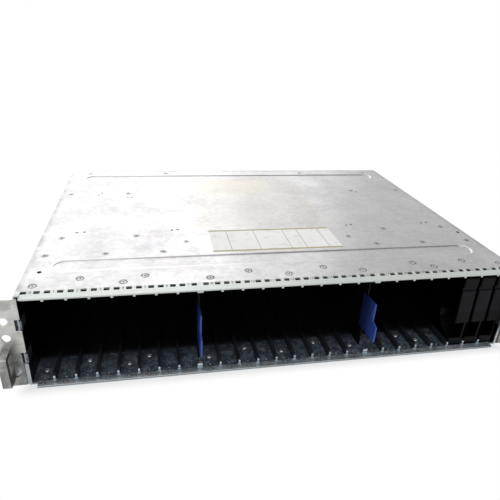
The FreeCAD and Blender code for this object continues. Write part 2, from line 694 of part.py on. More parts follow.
def drive_connectors():
    """One upright connector behind every slot."""
    width, depth, height = PLUG
    plugs = []
    for slot in range(SLOT_COUNT):
        x = slot_centre(slot)
        plugs.append(box(x - width / 2, x + width / 2, BOARD_FRONT - depth, BOARD_FRONT,
                         PLUG_BOTTOM, PLUG_BOTTOM + height))
    return Part.makeCompound(plugs)


def midplane_rails():
    """Angle rails that tie the board to the floor and the cover."""
    half = HALF - SHEET - BOARD_INSET
    low = [box(-half, half, BOARD_BACK, BOARD_BACK + SHEET, SHEET, SHEET + RAIL_HEIGHT),
           box(-half, half, BOARD_BACK, BOARD_BACK + RAIL_FOOT, SHEET, 2 * SHEET)]
    flange = UNDER_COVER - SHEET
    high = [box(-half, half, BOARD_BACK, BOARD_BACK + SHEET, flange - RAIL_HEIGHT, flange),
            box(-half, half, BOARD_BACK, BOARD_BACK + RAIL_FOOT, flange - SHEET, flange)]
    return Part.makeCompound([fuse(low), fuse(high)])


def module_spans():
    """(x0, x1, z0, z1) of the two power modules and the two controller modules."""
    side_in = PARTITION_X + BAY_SHEET / 2 + MODULE_GAP
    side_out = HALF - SHEET - MODULE_GAP
    power_z = (SHEET + MODULE_GAP, UNDER_COVER - SHEET - MODULE_GAP)
    middle = PARTITION_X - BAY_SHEET / 2 - MODULE_GAP
    shelf = BAY_SHEET / 2 + MODULE_GAP
    return {
        "power_left": (-side_out, -side_in) + power_z,
        "power_right": (side_in, side_out) + power_z,
        "controller_lower": (-middle, middle, SHEET + MODULE_GAP, SHELF_Z - shelf),
        "controller_upper": (-middle, middle, SHELF_Z + shelf, UNDER_BEAD - MODULE_GAP),
    }


def module_connectors():
    """Connectors on the back of the midplane board, one for each module."""
    width, depth, height = MODULE_PLUG
    mouth_width, mouth_depth, mouth_height = MODULE_MOUTH
    plugs = []
    for x0, x1, z0, z1 in module_spans().values():
        x, z = (x0 + x1) / 2, (z0 + z1) / 2
        face = BOARD_BACK + depth
        body = box(x - width / 2, x + width / 2, BOARD_BACK, face, z - height / 2, z + height / 2)
        mouth = box(x - mouth_width / 2, x + mouth_width / 2, face - mouth_depth, face + OVERCUT,
                    z - mouth_height / 2, z + mouth_height / 2)
        plugs.append(body.cut(mouth))
    return Part.makeCompound(plugs)


def bay_partition():
    """Left wall between the power module bay and the controller bay."""
    half = BAY_SHEET / 2
    return box(-PARTITION_X - half, -PARTITION_X + half, MODULE_FRONT, REAR, SHEET, UNDER_BEAD)


def module_shelf():
    """Shelf between the two controller modules."""
    half = PARTITION_X - BAY_SHEET / 2
    low = SHELF_Z - BAY_SHEET / 2
    return box(-half, half, MODULE_FRONT, REAR - FACE_THICK, low, low + BAY_SHEET)


# ---- power and cooling module ----------------------------------------------------------------
def grille_cuts(x, z):
    """Ring slots of a fan grille, left standing on four spokes."""
    start = (x, REAR - FACE_THICK - OVERCUT, z)
    through = FACE_THICK + 2 * OVERCUT
    rings = []
    for inner, outer in zip(GRILLE_STARTS, GRILLE_ENDS):
        ring = stud(start, (0, 1, 0), outer, through, ROUND_SIDES)
        rings.append(ring.cut(stud(start, (0, 1, 0), inner, through, ROUND_SIDES)))
    reach = GRILLE_ENDS[-1] + SPOKE
    spokes = []
    for turn in (STRUT_TURN, STRUT_TURN + 90):
        spoke = box(-reach, reach, start[1] - OVERCUT, REAR + 2 * OVERCUT, -SPOKE / 2, SPOKE / 2)
        spoke.rotate(FreeCAD.Vector(0, 0, 0), FreeCAD.Vector(0, 1, 0), turn)
        spoke.translate(FreeCAD.Vector(x, 0, z))
        spokes.append(spoke)
    return Part.makeCompound(rings).cut(Part.makeCompound(spokes))


def fan_centre(span):
    """(x, z) of the fan's axis in a power module."""
    return span[0] + FAN_INSET + FAN_SIZE / 2, (span[2] + span[3]) / 2


def power_pivot(span):
    """(x, y, z) of a power lever's pivot."""
    return span[0] + POWER_LEVER_X, REAR + LEVER_OFF + HEEL_R, span[2] + POWER_PIVOT_UP


def inlet_centre(span):
    """(x, z) of a module's power inlet."""
    return span[1] - INLET_INSET - INLET_BODY[0] / 2, span[2] + INLET_UP


def power_housing(span):
    """Sheet-metal sleeve with the rear panel: fan grille, inlet cut-out, lever lugs and pivot pin."""
    x0, x1, z0, z1 = span
    face = REAR - FACE_THICK
    t = MODULE_SHEET
    sleeve = box(x0, x1, MODULE_FRONT, face, z0, z1).cut(
        box(x0 + t, x1 - t, MODULE_FRONT - OVERCUT, face + OVERCUT, z0 + t, z1 - t))
    panel = box(x0, x1, face, REAR, z0, z1).cut(grille_cuts(*fan_centre(span)))
    width, _, height = INLET_BODY
    inlet_x, inlet_z = inlet_centre(span)
    half_width = width / 2 + INLET_PLAY
    half_height = height / 2 + INLET_PLAY
    cut_out = box(inlet_x - half_width, inlet_x + half_width, face - OVERCUT, REAR + OVERCUT,
                  inlet_z - half_height, inlet_z + half_height)
    x, y, z = power_pivot(span)
    half = POWER_LEVER_WIDTH / 2 + FIT_GAP
    lugs = [box(start, start + LUG_THICK, REAR, y + HEEL_R, z - HEEL_R, z + HEEL_R)
            for start in (x - half - LUG_THICK, x + half)]
    pin = stud((x - half - LUG_THICK, y, z), (1, 0, 0), PIVOT_R, 2 * (half + LUG_THICK), PIN_SIDES)
    return fuse([sleeve, panel.cut(cut_out)] + lugs + [pin])


def power_inlet(span):
    """Three-pin power inlet with its rim outside the panel."""
    inlet_x, inlet_z = inlet_centre(span)
    width, depth, height = INLET_BODY
    body = box(inlet_x - width / 2, inlet_x + width / 2, REAR - depth, REAR,
               inlet_z - height / 2, inlet_z + height / 2)
    half_width = width / 2 + INLET_RIM
    half_height = height / 2 + INLET_RIM
    rim = box(inlet_x - half_width, inlet_x + half_width, REAR, REAR + INLET_RIM,
              inlet_z - half_height, inlet_z + half_height)
    width, depth, height = INLET_CAVITY
    back = REAR + INLET_RIM - depth
    cavity = box(inlet_x - width / 2, inlet_x + width / 2, back, REAR + INLET_RIM + OVERCUT,
                 inlet_z - height / 2, inlet_z + height / 2)
    pin_width, pin_length, pin_height = PIN
    pins = []
    for step, lift in ((-1, -1), (0, 1), (1, -1)):
        x = inlet_x + step * PIN_SPREAD
        z = inlet_z + lift * PIN_LIFT
        pins.append(box(x - pin_width / 2, x + pin_width / 2, back - OVERCUT, back + pin_length,
                        z - pin_height / 2, z + pin_height / 2))
    return fuse([fuse([body, rim]).cut(cavity)] + pins)


def fan_frame(span):
    """Square fan frame with its motor mount and shaft on four struts."""
    x, z = fan_centre(span)
    half = FAN_SIZE / 2
    front = REAR - FACE_THICK - FAN_DEPTH
    start = (x, front, z)
    frame = box(x - half, x + half, front, front + FAN_DEPTH, z - half, z + half)
    frame = frame.cut(stud(start, (0, 1, 0), FAN_BORE_R, FAN_DEPTH, ROUND_SIDES))
    mount = stud(start, (0, 1, 0), HUB_R, MOTOR_MOUNT, ROUND_SIDES)
    shaft = cylinder(start, (0, 1, 0), SHAFT_R, MOTOR_MOUNT + SHAFT_LENGTH)
    struts = []
    for turn in range(STRUTS):
        strut = box(HUB_R - STRUT_LAP, FAN_BORE_R + STRUT_LAP, front, front + MOTOR_MOUNT,
                    -SPOKE / 2, SPOKE / 2)
        strut.rotate(FreeCAD.Vector(0, 0, 0), FreeCAD.Vector(0, 1, 0), STRUT_TURN + turn * 360 / STRUTS)
        strut.translate(FreeCAD.Vector(x, 0, z))
        struts.append(strut)
    return fuse([frame, mount, shaft] + struts)


def fan_rotor(span):
    """Hub with pitched blades, bored for the shaft and clear of the frame."""
    x, z = fan_centre(span)
    back = REAR - FACE_THICK - 2 * FIT_GAP
    front = REAR - FACE_THICK - FAN_DEPTH + MOTOR_MOUNT + FIT_GAP
    hub = stud((0, front, 0), (0, 1, 0), HUB_R, back - front, ROUND_SIDES)
    tip = math.sqrt((FAN_BORE_R - BLADE_GAP) ** 2 - (BLADE_CHORD / 2) ** 2)
    middle = (front + back) / 2
    blades = []
    for number in range(BLADES):
        blade = box(HUB_R / 2, tip, middle - BLADE_CHORD / 2, middle + BLADE_CHORD / 2,
                    -BLADE_THICK / 2, BLADE_THICK / 2)
        blade.rotate(FreeCAD.Vector(0, middle, 0), FreeCAD.Vector(1, 0, 0), BLADE_PITCH)
        blade.rotate(FreeCAD.Vector(0, 0, 0), FreeCAD.Vector(0, 1, 0), number * 360 / BLADES)
        blades.append(blade)
    bore_r = (SHAFT_R + SHAFT_PLAY) / math.cos(math.pi / PIN_SIDES)
    bore = stud((0, front, 0), (0, 1, 0), bore_r, SHAFT_LENGTH + FIT_GAP, PIN_SIDES)
    rotor = fuse([hub] + blades).cut(bore)
    rotor.translate(FreeCAD.Vector(x, 0, z))
    return rotor


def power_core(span):
    """Converter block with cooling fins in front of the fan."""
    x0, x1, z0, z1 = span
    inset = MODULE_SHEET
    rear = REAR - FACE_THICK - FAN_DEPTH - CORE_GAP
    front = MODULE_FRONT + CORE_GAP
    top = z0 + (z1 - z0) * CORE_BASE
    base = box(x0 + inset, x1 - inset, front, rear, z0 + inset, top)
    fins = []
    pitch = (x1 - x0 - 4 * inset) / FIN_COUNT
    for number in range(FIN_COUNT):
        left = x0 + 2 * inset + (number + FIN_START) * pitch
        fins.append(box(left, left + pitch * FIN_SHARE, front + CORE_GAP, rear - CORE_GAP, top - OVERCUT,
                        z1 - 3 * inset))
    return fuse([base] + fins)


def latch_lever(length, width):
    """Lever with its pivot on the Y axis: the arm runs along +X and its grip rises towards +Z."""
    edge = LEVER_THICK / 2
    crest = edge + LEVER_RISE
    arm = profile_xz([(0, -edge), (length - 1, -edge), (length, 1 - edge), (length, crest),
                      (length - LEVER_RISE, crest), (length - LEVER_GRIP, edge), (0, edge)],
                     -width / 2, width / 2)
    heel = stud((0, -width / 2, 0), (0, 1, 0), HEEL_R - FIT_GAP, width, HEEL_SIDES)
    bore = cylinder((0, -width / 2, 0), (0, 1, 0), PIVOT_R + PIVOT_PLAY, width)
    return fuse([arm, heel]).cut(bore)


def power_lever(span):
    """Latch lever up the rear panel; it turns outwards about its lower end."""
    lever = latch_lever(POWER_LEVER_LENGTH, POWER_LEVER_WIDTH)
    lever.Placement = FreeCAD.Placement(FreeCAD.Vector(*power_pivot(span)),
                                        FreeCAD.Rotation(FreeCAD.Vector(1, 1, 1), -120))
    return lever


# ---- controller module -----------------------------------------------------------------------
def controller_tray(span):
    """Open sheet tray that carries the controller board on four posts."""
    x0, x1, z0, z1 = span
    t = MODULE_SHEET
    rear = REAR - FACE_THICK
    pieces = [box(x0, x1, MODULE_FRONT, rear, z0, z0 + t), box(x0, x0 + t, MODULE_FRONT, rear, z0, z1),
              box(x1 - t, x1, MODULE_FRONT, rear, z0, z1)]
    for x in (x0 + POST_INSET, x1 - POST_INSET):
        for y in (rear - POST_INSET, rear - CARD_DEPTH + POST_INSET):
            pieces.append(stud((x, y, z0), (0, 0, 1), POST_R, CARD_UP))
    return fuse(pieces)


def controller_board(span):
    """Circuit board with two heat sinks and a plug towards the midplane."""
    x0, x1, z0, _ = span
    inset = MODULE_SHEET + 2 * FIT_GAP
    rear = REAR - FACE_THICK - FIT_GAP
    card_front = rear - CARD_DEPTH
    z = z0 + CARD_UP
    pieces = [box(x0 + inset, x1 - inset, card_front, rear, z, z + CARD_THICK)]
    sink_front = card_front + CARD_DEPTH * SINK_START
    sink_rear = sink_front + SINK_DEPTH
    for centre in SINK_XS:
        left = centre - SINK_WIDTH / 2
        pieces.append(box(left, left + SINK_WIDTH, sink_front, sink_rear, z, z + CARD_THICK + SINK_BASE))
        pitch = (SINK_WIDTH - SINK_FIN) / (SINK_FINS - 1)
        for number in range(SINK_FINS):
            start = left + number * pitch
            pieces.append(box(start, start + SINK_FIN, sink_front, sink_rear, z, z + SINK_HEIGHT))
    width, depth, height = MODULE_PLUG
    pieces.append(box(-width / 2, width / 2, card_front - depth, card_front + depth, z, z + height))
    return fuse(pieces)


def port_z(span):
    """Middle height of the ports."""
    return span[2] + CARD_UP + CARD_THICK + PORT[2] / 2


def controller_ports(span):
    """Cable ports that stand on the board and reach through the face plate."""
    width, depth, height = PORT
    cavity_width, cavity_depth, cavity_height = PORT_CAVITY
    z = port_z(span)
    ports = []
    for x in PORT_XS:
        body = box(x - width / 2, x + width / 2, REAR + PORT_PROUD - depth, REAR + PORT_PROUD,
                   z - height / 2, z + height / 2)
        cavity = box(x - cavity_width / 2, x + cavity_width / 2, REAR + PORT_PROUD - cavity_depth,
                     REAR + PORT_PROUD + OVERCUT, z - cavity_height / 2, z + cavity_height / 2)
        ports.append(body.cut(cavity))
    return Part.makeCompound(ports)


def left_pivot(span):
    """(x, y, z) of the left controller lever's pivot; the right one mirrors it."""
    return (span[0] + PIVOT_INSET, REAR + LEVER_OFF + HEEL_R,
            span[3] - LEVER_WIDTH / 2 - 2 * LUG_THICK)


def controller_face(span):
    """Face plate with port cut-outs, air slits, and a pair of lugs with a pin for each lever."""
    x0, x1, z0, z1 = span
    before, behind = REAR - FACE_THICK - OVERCUT, REAR + OVERCUT
    plate = box(x0, x1, REAR - FACE_THICK, REAR, z0, z1)
    half_width = PORT[0] / 2 + PORT_GAP
    half_height = PORT[2] / 2 + PORT_GAP
    z = port_z(span)
    cuts = [box(x - half_width, x + half_width, before, behind, z - half_height, z + half_height)
            for x in PORT_XS]
    for number in range(SLITS):
        x = SLIT_START + number * SLIT_PITCH
        cuts.append(box(x, x + SLIT[0], before, behind, z - SLIT[1] / 2, z + SLIT[1] / 2))
    x, y, z = left_pivot(span)
    half = LEVER_WIDTH / 2 + FIT_GAP
    hinge = [box(x - HEEL_R, x + HEEL_R, REAR, y + HEEL_R, low, low + LUG_THICK)
             for low in (z - half - LUG_THICK, z + half)]
    hinge.append(stud((x, y, z - half - LUG_THICK), (0, 0, 1), PIVOT_R,
                      2 * (half + LUG_THICK), PIN_SIDES))
    return fuse([plate.cut(Part.makeCompound(cuts))] + hinge + [mirrored(piece) for piece in hinge])


def controller_lever(span):
    """Left ejector lever along the face plate; it turns outwards about its outer end."""
    lever = latch_lever(LEVER_LENGTH, LEVER_WIDTH)
    lever.Placement = FreeCAD.Placement(FreeCAD.Vector(*left_pivot(span)),
                                        FreeCAD.Rotation(FreeCAD.Vector(1, 0, 0), -90))
    return lever


# ---- all nodes -------------------------------------------------------------------------------
def build_nodes():
    """Every node's name and shape."""
    nodes = {
        "chassis_tray": chassis_tray(),
        "top_cover": top_cover(),
        "cover_rivets": cover_rivets(),
        "floor_rivets": floor_rivets(),
        "ear_rivets": ear_rivets(),
        "bezel_clips": bezel_clips(),
        "midplane_board": midplane_board(),
        "drive_connectors": drive_connectors(),
        "midplane_rails": midplane_rails(),
        "module_connectors": module_connectors(),
        "module_shelf": module_shelf(),
    }
    ear, handle, partition = rack_ear(), ear_handle(), bay_partition()
    for side in ("left", "right"):
        for name, shape in (("rack_ear", ear), ("ear_handle", handle), ("bay_partition", partition)):
            nodes[name + "_" + side] = shape if side == "left" else mirrored(shape)
    for side, x in zip(("left", "right"), DIVIDER_XS):
        nodes["divider_wall_" + side] = divider_wall(x)
        nodes["divider_clip_" + side] = divider_clip(x)
    for group, place in enumerate(("left", "middle", "right")):
        nodes["floor_guide_" + place] = floor_guide(group)
        nodes["ceiling_guide_" + place] = ceiling_guide(group)
    for slot in FILLED_SLOTS:
        nodes["drive_filler_" + str(slot)] = drive_filler(slot)
    spans = module_spans()
    for side in ("left", "right"):
        span = spans["power_" + side]
        nodes["power_housing_" + side] = power_housing(span)
        nodes["power_inlet_" + side] = power_inlet(span)
        nodes["fan_frame_" + side] = fan_frame(span)
        nodes["fan_rotor_" + side] = fan_rotor(span)
        nodes["power_core_" + side] = power_core(span)
        nodes["power_lever_" + side] = power_lever(span)
    for level in ("lower", "upper"):
        span = spans["controller_" + level]
        nodes["controller_tray_" + level] = controller_tray(span)
        nodes["controller_board_" + level] = controller_board(span)
        nodes["controller_ports_" + level] = controller_ports(span)
        nodes["controller_face_" + level] = controller_face(span)
        lever = controller_lever(span)
        nodes["controller_lever_" + level + "_left"] = lever
        nodes["controller_lever_" + level + "_right"] = mirrored(lever)
    return nodes


os.makedirs("parts", exist_ok=True)
for node, shape in build_nodes().items():
    if not shape.isValid():
        print("not valid:", node)
    shape.exportStep(os.path.join("parts", node + ".step"))
    print(node, len(shape.Solids), "solid(s)", round(shape.Volume), "mm3")
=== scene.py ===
"""Looks of a disk shelf enclosure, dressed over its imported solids.

The solids keep their places and sizes. This file gives every one of them its finish and adds
the small things that a drawing leaves out: rivet heads, slot numbers, screw marks and scratches.
Lengths are in metres, in the frame of the solids: +X right, +Y to the rear, +Z up.
"""

import logging
import math
from dataclasses import dataclass, field, replace
from enum import Enum

import bmesh
import bpy
from mathutils import Matrix, Vector


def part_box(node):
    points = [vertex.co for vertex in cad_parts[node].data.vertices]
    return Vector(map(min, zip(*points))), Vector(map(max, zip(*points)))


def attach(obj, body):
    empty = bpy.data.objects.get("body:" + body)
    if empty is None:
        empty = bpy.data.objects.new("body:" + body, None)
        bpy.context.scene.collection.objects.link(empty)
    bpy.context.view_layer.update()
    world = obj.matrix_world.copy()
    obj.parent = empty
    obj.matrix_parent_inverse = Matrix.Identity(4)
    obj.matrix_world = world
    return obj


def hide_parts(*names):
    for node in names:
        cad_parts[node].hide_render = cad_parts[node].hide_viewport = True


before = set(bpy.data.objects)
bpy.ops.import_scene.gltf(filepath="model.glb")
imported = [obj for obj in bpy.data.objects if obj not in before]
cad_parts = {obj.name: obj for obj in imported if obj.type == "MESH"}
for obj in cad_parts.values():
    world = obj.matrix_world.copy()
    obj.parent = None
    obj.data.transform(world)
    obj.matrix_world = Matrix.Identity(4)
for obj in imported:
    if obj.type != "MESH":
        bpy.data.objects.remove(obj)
log = logging.getLogger("disk_shelf")

MM = 0.001
BEYOND = 0.3  # farther from the origin than the shelf reaches along any axis
Socket = bpy.types.NodeSocket
Pair = tuple[float, float]
Colour = tuple[float, float, float]
Triple = tuple[float, float, float]


class Side(Enum):
    """The two ends of the shelf, seen from the front."""

    LEFT = "left"
    RIGHT = "right"


class Level(Enum):
    """The two controller modules."""

    LOWER = "lower"
    UPPER = "upper"


class Axis(Enum):
    """Index of a coordinate axis."""

    X = 0
    Y = 1
    Z = 2


# ---- node graphs -----------------------------------------------------------------------------


class NodeSheet:
    """The node graph of one material, built from coordinates to surface."""

    def __init__(self, name: str) -> None:
        """Start an empty material.

        Args:
            name: Name of the material.
        """
        self.material = bpy.data.materials.new(name)
        self.material.use_nodes = True
        self.nodes = self.material.node_tree.nodes
        self.links = self.material.node_tree.links
        self.nodes.clear()
        self.place = self.nodes.new("ShaderNodeTexCoord").outputs["Object"]

    def feed(self, socket: Socket, value: object) -> None:
        """Give a socket a link or a constant.

        Args:
            socket: Input to fill.
            value: An output socket, a number or a tuple.
        """
        if isinstance(value, bpy.types.NodeSocket):
            self.links.new(value, socket)
        elif isinstance(value, tuple) and len(value) == 3 and socket.type == "RGBA":
            socket.default_value = (*value, 1.0)
        else:
            socket.default_value = value

    def stretched(self, scale: Triple) -> Socket:
        """Return the coordinates multiplied along each axis.

        Args:
            scale: Factor for X, Y and Z.

        Returns:
            Vector socket.
        """
        mapping = self.nodes.new("ShaderNodeMapping")
        self.links.new(self.place, mapping.inputs["Vector"])
        mapping.inputs["Scale"].default_value = scale
        return mapping.outputs["Vector"]

    def coordinate(self, axis: Axis) -> Socket:
        """Return one coordinate in metres.

        Args:
            axis: Which one.

        Returns:
            Value socket.
        """
        split = self.nodes.new("ShaderNodeSeparateXYZ")
        self.links.new(self.place, split.inputs[0])
        return split.outputs[axis.value]

    def noise(self, size: float, detail: float = 3.0, rough: float = 0.55,
              stretch: Triple = (1.0, 1.0, 1.0)) -> Socket:
        """Return cloudy noise from 0 to 1.

        Args:
            size: Size of a cloud in metres.
            detail: Octaves.
            rough: Share that each octave keeps.
            stretch: Factor for each axis before the noise.

        Returns:
            Value socket.
        """
        node = self.nodes.new("ShaderNodeTexNoise")
        self.links.new(self.stretched(stretch), node.inputs["Vector"])
        node.inputs["Scale"].default_value = 1.0 / size
        node.inputs["Detail"].default_value = detail
        node.inputs["Roughness"].default_value = rough
        return node.outputs["Fac"]

    def crystals(self, size: float, stretch: Triple = (1.0, 1.0, 1.0)) -> Socket:
        """Return one random value for each crystal of a galvanised surface.

        Args:
            size: Size of a crystal in metres.
            stretch: Factor for each axis.

        Returns:
            Value socket.
        """
        node = self.nodes.new("ShaderNodeTexVoronoi")
        self.links.new(self.stretched(stretch), node.inputs["Vector"])
        node.inputs["Scale"].default_value = 1.0 / size
        split = self.nodes.new("ShaderNodeSeparateColor")
        self.links.new(node.outputs["Color"], split.inputs[0])
        return split.outputs[0]

    def remap(self, value: Socket, low: float, high: float, to_low: float = 0.0,
              to_high: float = 1.0) -> Socket:
        """Return a value carried from one range to another with soft ends.

        Args:
            value: Source.
            low: Source value that becomes to_low.
            high: Source value that becomes to_high.
            to_low: Result at low.
            to_high: Result at high.

        Returns:
            Value socket.
        """
        node = self.nodes.new("ShaderNodeMapRange")
        node.interpolation_type = "SMOOTHSTEP"
        self.feed(node.inputs["Value"], value)
        for key, number in (("From Min", low), ("From Max", high), ("To Min", to_low),
                            ("To Max", to_high)):
            node.inputs[key].default_value = number
        return node.outputs["Result"]

    def calc(self, operation: str, first: object, second: object = 0.0) -> Socket:
        """Return a sum, product or other combination of two values.

        Args:
            operation: Name of the operation.
            first: Socket or number.
            second: Socket or number.

        Returns:
            Value socket.
        """
        node = self.nodes.new("ShaderNodeMath")
        node.operation = operation
        self.feed(node.inputs[0], first)
        self.feed(node.inputs[1], second)
        return node.outputs[0]

    def blend(self, share: Socket, first: object, second: object) -> Socket:
        """Return a colour between two others.

        Args:
            share: 0 gives the first, 1 the second.
            first: Colour or socket.
            second: Colour or socket.

        Returns:
            Colour socket.
        """
        node = self.nodes.new("ShaderNodeMix")
        node.data_type = "RGBA"
        self.feed(node.inputs[0], share)
        self.feed(node.inputs[6], first)
        self.feed(node.inputs[7], second)
        return node.outputs[2]

    def band(self, axis: Axis, low: float, high: float, soft: float) -> Socket:
        """Return 1 between two planes and 0 outside them.

        Args:
            axis: Axis across the planes.
            low: Place of the first plane.
            high: Place of the second plane.
            soft: Width of each edge.

        Returns:
            Value socket.
        """
        return self.ring(self.coordinate(axis), low, high, soft)

    def block(self, low: Triple, high: Triple, soft: float) -> Socket:
        """Return 1 inside a box and 0 outside it.

        Args:
            low: Lowest corner.
            high: Highest corner.
            soft: Width of each edge.

        Returns:
            Value socket.
        """
        return self.times(*(self.band(axis, low[axis.value], high[axis.value], soft)
                            for axis in Axis))

    def nearest(self, spots: tuple[Triple, ...], flatten: Axis) -> Socket:
        """Return the distance to the nearest of several points, seen along an axis.

        Args:
            spots: The points.
            flatten: Axis that doesn't count.

        Returns:
            Value socket, in metres.
        """
        keep = [0.0 if axis is flatten else 1.0 for axis in Axis]
        flat = self.stretched((keep[0], keep[1], keep[2]))
        found: Socket | None = None
        for spot in spots:
            node = self.nodes.new("ShaderNodeVectorMath")
            node.operation = "DISTANCE"
            self.links.new(flat, node.inputs[0])
            node.inputs[1].default_value = tuple(k * s for k, s in zip(keep, spot))
            reach = node.outputs["Value"]
            found = reach if found is None else self.calc("MINIMUM", found, reach)
        return found

    def beyond(self, half: Pair) -> Socket:
        """Return the distance outside a rectangle on the ground, centred on the origin.

        Args:
            half: Half its size along X and Y.

        Returns:
            Value socket, in metres.
        """
        gaps = []
        for axis, reach in zip((Axis.X, Axis.Y), half):
            away = self.calc("ABSOLUTE", self.coordinate(axis))
            gaps.append(self.calc("MAXIMUM", self.calc("SUBTRACT", away, reach), 0.0))
        return self.length(*gaps)

    def length(self, first: Socket, second: Socket) -> Socket:
        """Return the long side of a right triangle with two given sides."""
        return self.calc("SQRT", self.calc("ADD", self.times(first, first),
                                           self.times(second, second)))

    def stadium(self, middle: float, half_length: float, radius: float) -> Socket:
        """Return the distance to a stadium's outline, seen from above, less than 0 inside it.

        Args:
            middle: Place of its long axis along Y.
            half_length: Half its length along X.
            radius: Radius of its ends.

        Returns:
            Value socket, in metres.
        """
        along = self.calc("ABSOLUTE", self.coordinate(Axis.X))
        along = self.calc("MAXIMUM", self.calc("SUBTRACT", along, half_length - radius), 0.0)
        across = self.calc("SUBTRACT", self.coordinate(Axis.Y), middle)
        return self.calc("SUBTRACT", self.length(along, across), radius)

    def ring(self, gap: Socket, inner: float, outer: float, soft: float) -> Socket:
        """Return 1 where a distance lies between two radii.

        Args:
            gap: Distance.
            inner: Smaller radius.
            outer: Larger radius.
            soft: Width of each edge.

        Returns:
            Value socket.
        """
        rise = self.remap(gap, inner - soft, inner + soft)
        return self.times(rise, self.dot(gap, outer - soft, outer + soft))

    def dot(self, value: Socket, core: float, edge: float) -> Socket:
        """Return 1 up to a first value and 0 from a second one on."""
        return self.remap(value, core, edge, 1.0, 0.0)

    def rest(self, value: Socket) -> Socket:
        """Return what a value leaves of 1."""
        return self.calc("SUBTRACT", 1.0, value)

    def most(self, *values: Socket) -> Socket:
        """Return the largest of several values.

        Args:
            values: The values.

        Returns:
            Value socket.
        """
        found = values[0]
        for value in values[1:]:
            found = self.calc("MAXIMUM", found, value)
        return found

    def times(self, *values: object) -> object:
        """Return the product of several values.

        Args:
            values: Sockets or numbers.

        Returns:
            Value socket, or the value itself if there is only one.
        """
        found = values[0]
        for value in values[1:]:
            found = self.calc("MULTIPLY", found, value)
        return found

    def paint(self, under: object, over: object, *shares: object) -> Socket:
        """Return a colour with another laid over it.

        Args:
            under: Colour or socket below.
            over: Colour or socket on top.
            shares: How much of the top one shows, as sockets or numbers to be multiplied.

        Returns:
            Colour socket.
        """
        return self.blend(self.times(*shares), under, over)

    def seen(self) -> Socket:
        """Return 1 for camera, glossy and transmission rays.

        Returns:
            Value socket.
        """
        path = self.nodes.new("ShaderNodeLightPath")
        return self.most(*(path.outputs[f"Is {kind} Ray"]
                           for kind in ("Camera", "Glossy", "Transmission")))

    def join(self, share: Socket, first: Socket, second: Socket, output: Socket) -> None:
        """Close the graph with a mix of two shaders.

        Args:
            share: 0 gives the first, 1 the second.
            first: Shader.
            second: Shader.
            output: Input that takes the mix.
        """
        mix = self.nodes.new("ShaderNodeMixShader")
        for source, socket in zip((share, first, second), mix.inputs):
            self.links.new(source, socket)
        self.links.new(mix.outputs[0], output)

    def relief(self, height: Socket, depth: float, under: Socket | None = None) -> Socket:
        """Return a normal bent by a height.

        Args:
            height: Height from 0 to 1.
            depth: What a height of 1 stands for, in metres.
            under: Normal below this one.

        Returns:
            Normal socket.
        """
        node = self.nodes.new("ShaderNodeBump")
        node.inputs["Strength"].default_value = 1.0
        node.inputs["Distance"].default_value = depth
        self.links.new(height, node.inputs["Height"])
        if under is not None:
            self.links.new(under, node.inputs["Normal"])
        return node.outputs["Normal"]

    def worn_edges(self, reach: float) -> Socket:
        """Return 1 on edges and corners and 0 on flats.

        Args:
            reach: Width of the worn line.

        Returns:
            Value socket.
        """
        bevel = self.nodes.new("ShaderNodeBevel")
        bevel.samples = 4
        bevel.inputs["Radius"].default_value = reach
        plain = self.nodes.new("ShaderNodeNewGeometry")
        turn = self.nodes.new("ShaderNodeVectorMath")
        turn.operation = "DOT_PRODUCT"
        self.links.new(bevel.outputs[0], turn.inputs[0])
        self.links.new(plain.outputs["Normal"], turn.inputs[1])
        return self.remap(turn.outputs["Value"], 0.70, 0.99, 1.0, 0.0)

    def facing_in(self) -> Socket:
        """Return 1 on faces that look towards the middle of the shelf along X.

        Returns:
            Value socket.
        """
        split = self.nodes.new("ShaderNodeSeparateXYZ")
        self.links.new(self.nodes.new("ShaderNodeNewGeometry").outputs["Normal"],
                       split.inputs[0])
        side = self.calc("SIGN", self.coordinate(Axis.X))
        return self.remap(self.times(side, split.outputs[0], -1.0), 0.35, 0.8)

    def surface(self, base: object, rough: object, normal: Socket | None = None,
                **constants: object) -> bpy.types.Material:
        """Close the graph with its shader.

        Args:
            base: Base colour, constant or socket.
            rough: Roughness, constant or socket.
            normal: Bent normal.
            constants: Values for other inputs of the shader, by name with _ for a space.

        Returns:
            The finished material.
        """
        shader = self.nodes.new("ShaderNodeBsdfPrincipled")
        output = self.nodes.new("ShaderNodeOutputMaterial")
        self.feed(shader.inputs["Base Color"], base)
        self.feed(shader.inputs["Roughness"], rough)
        if normal is not None:
            self.links.new(normal, shader.inputs["Normal"])
        for key, value in constants.items():
            self.feed(shader.inputs[key.replace("_", " ")], value)
        self.links.new(shader.outputs[0], output.inputs["Surface"])
        return self.material


# ---- finishes --------------------------------------------------------------------------------


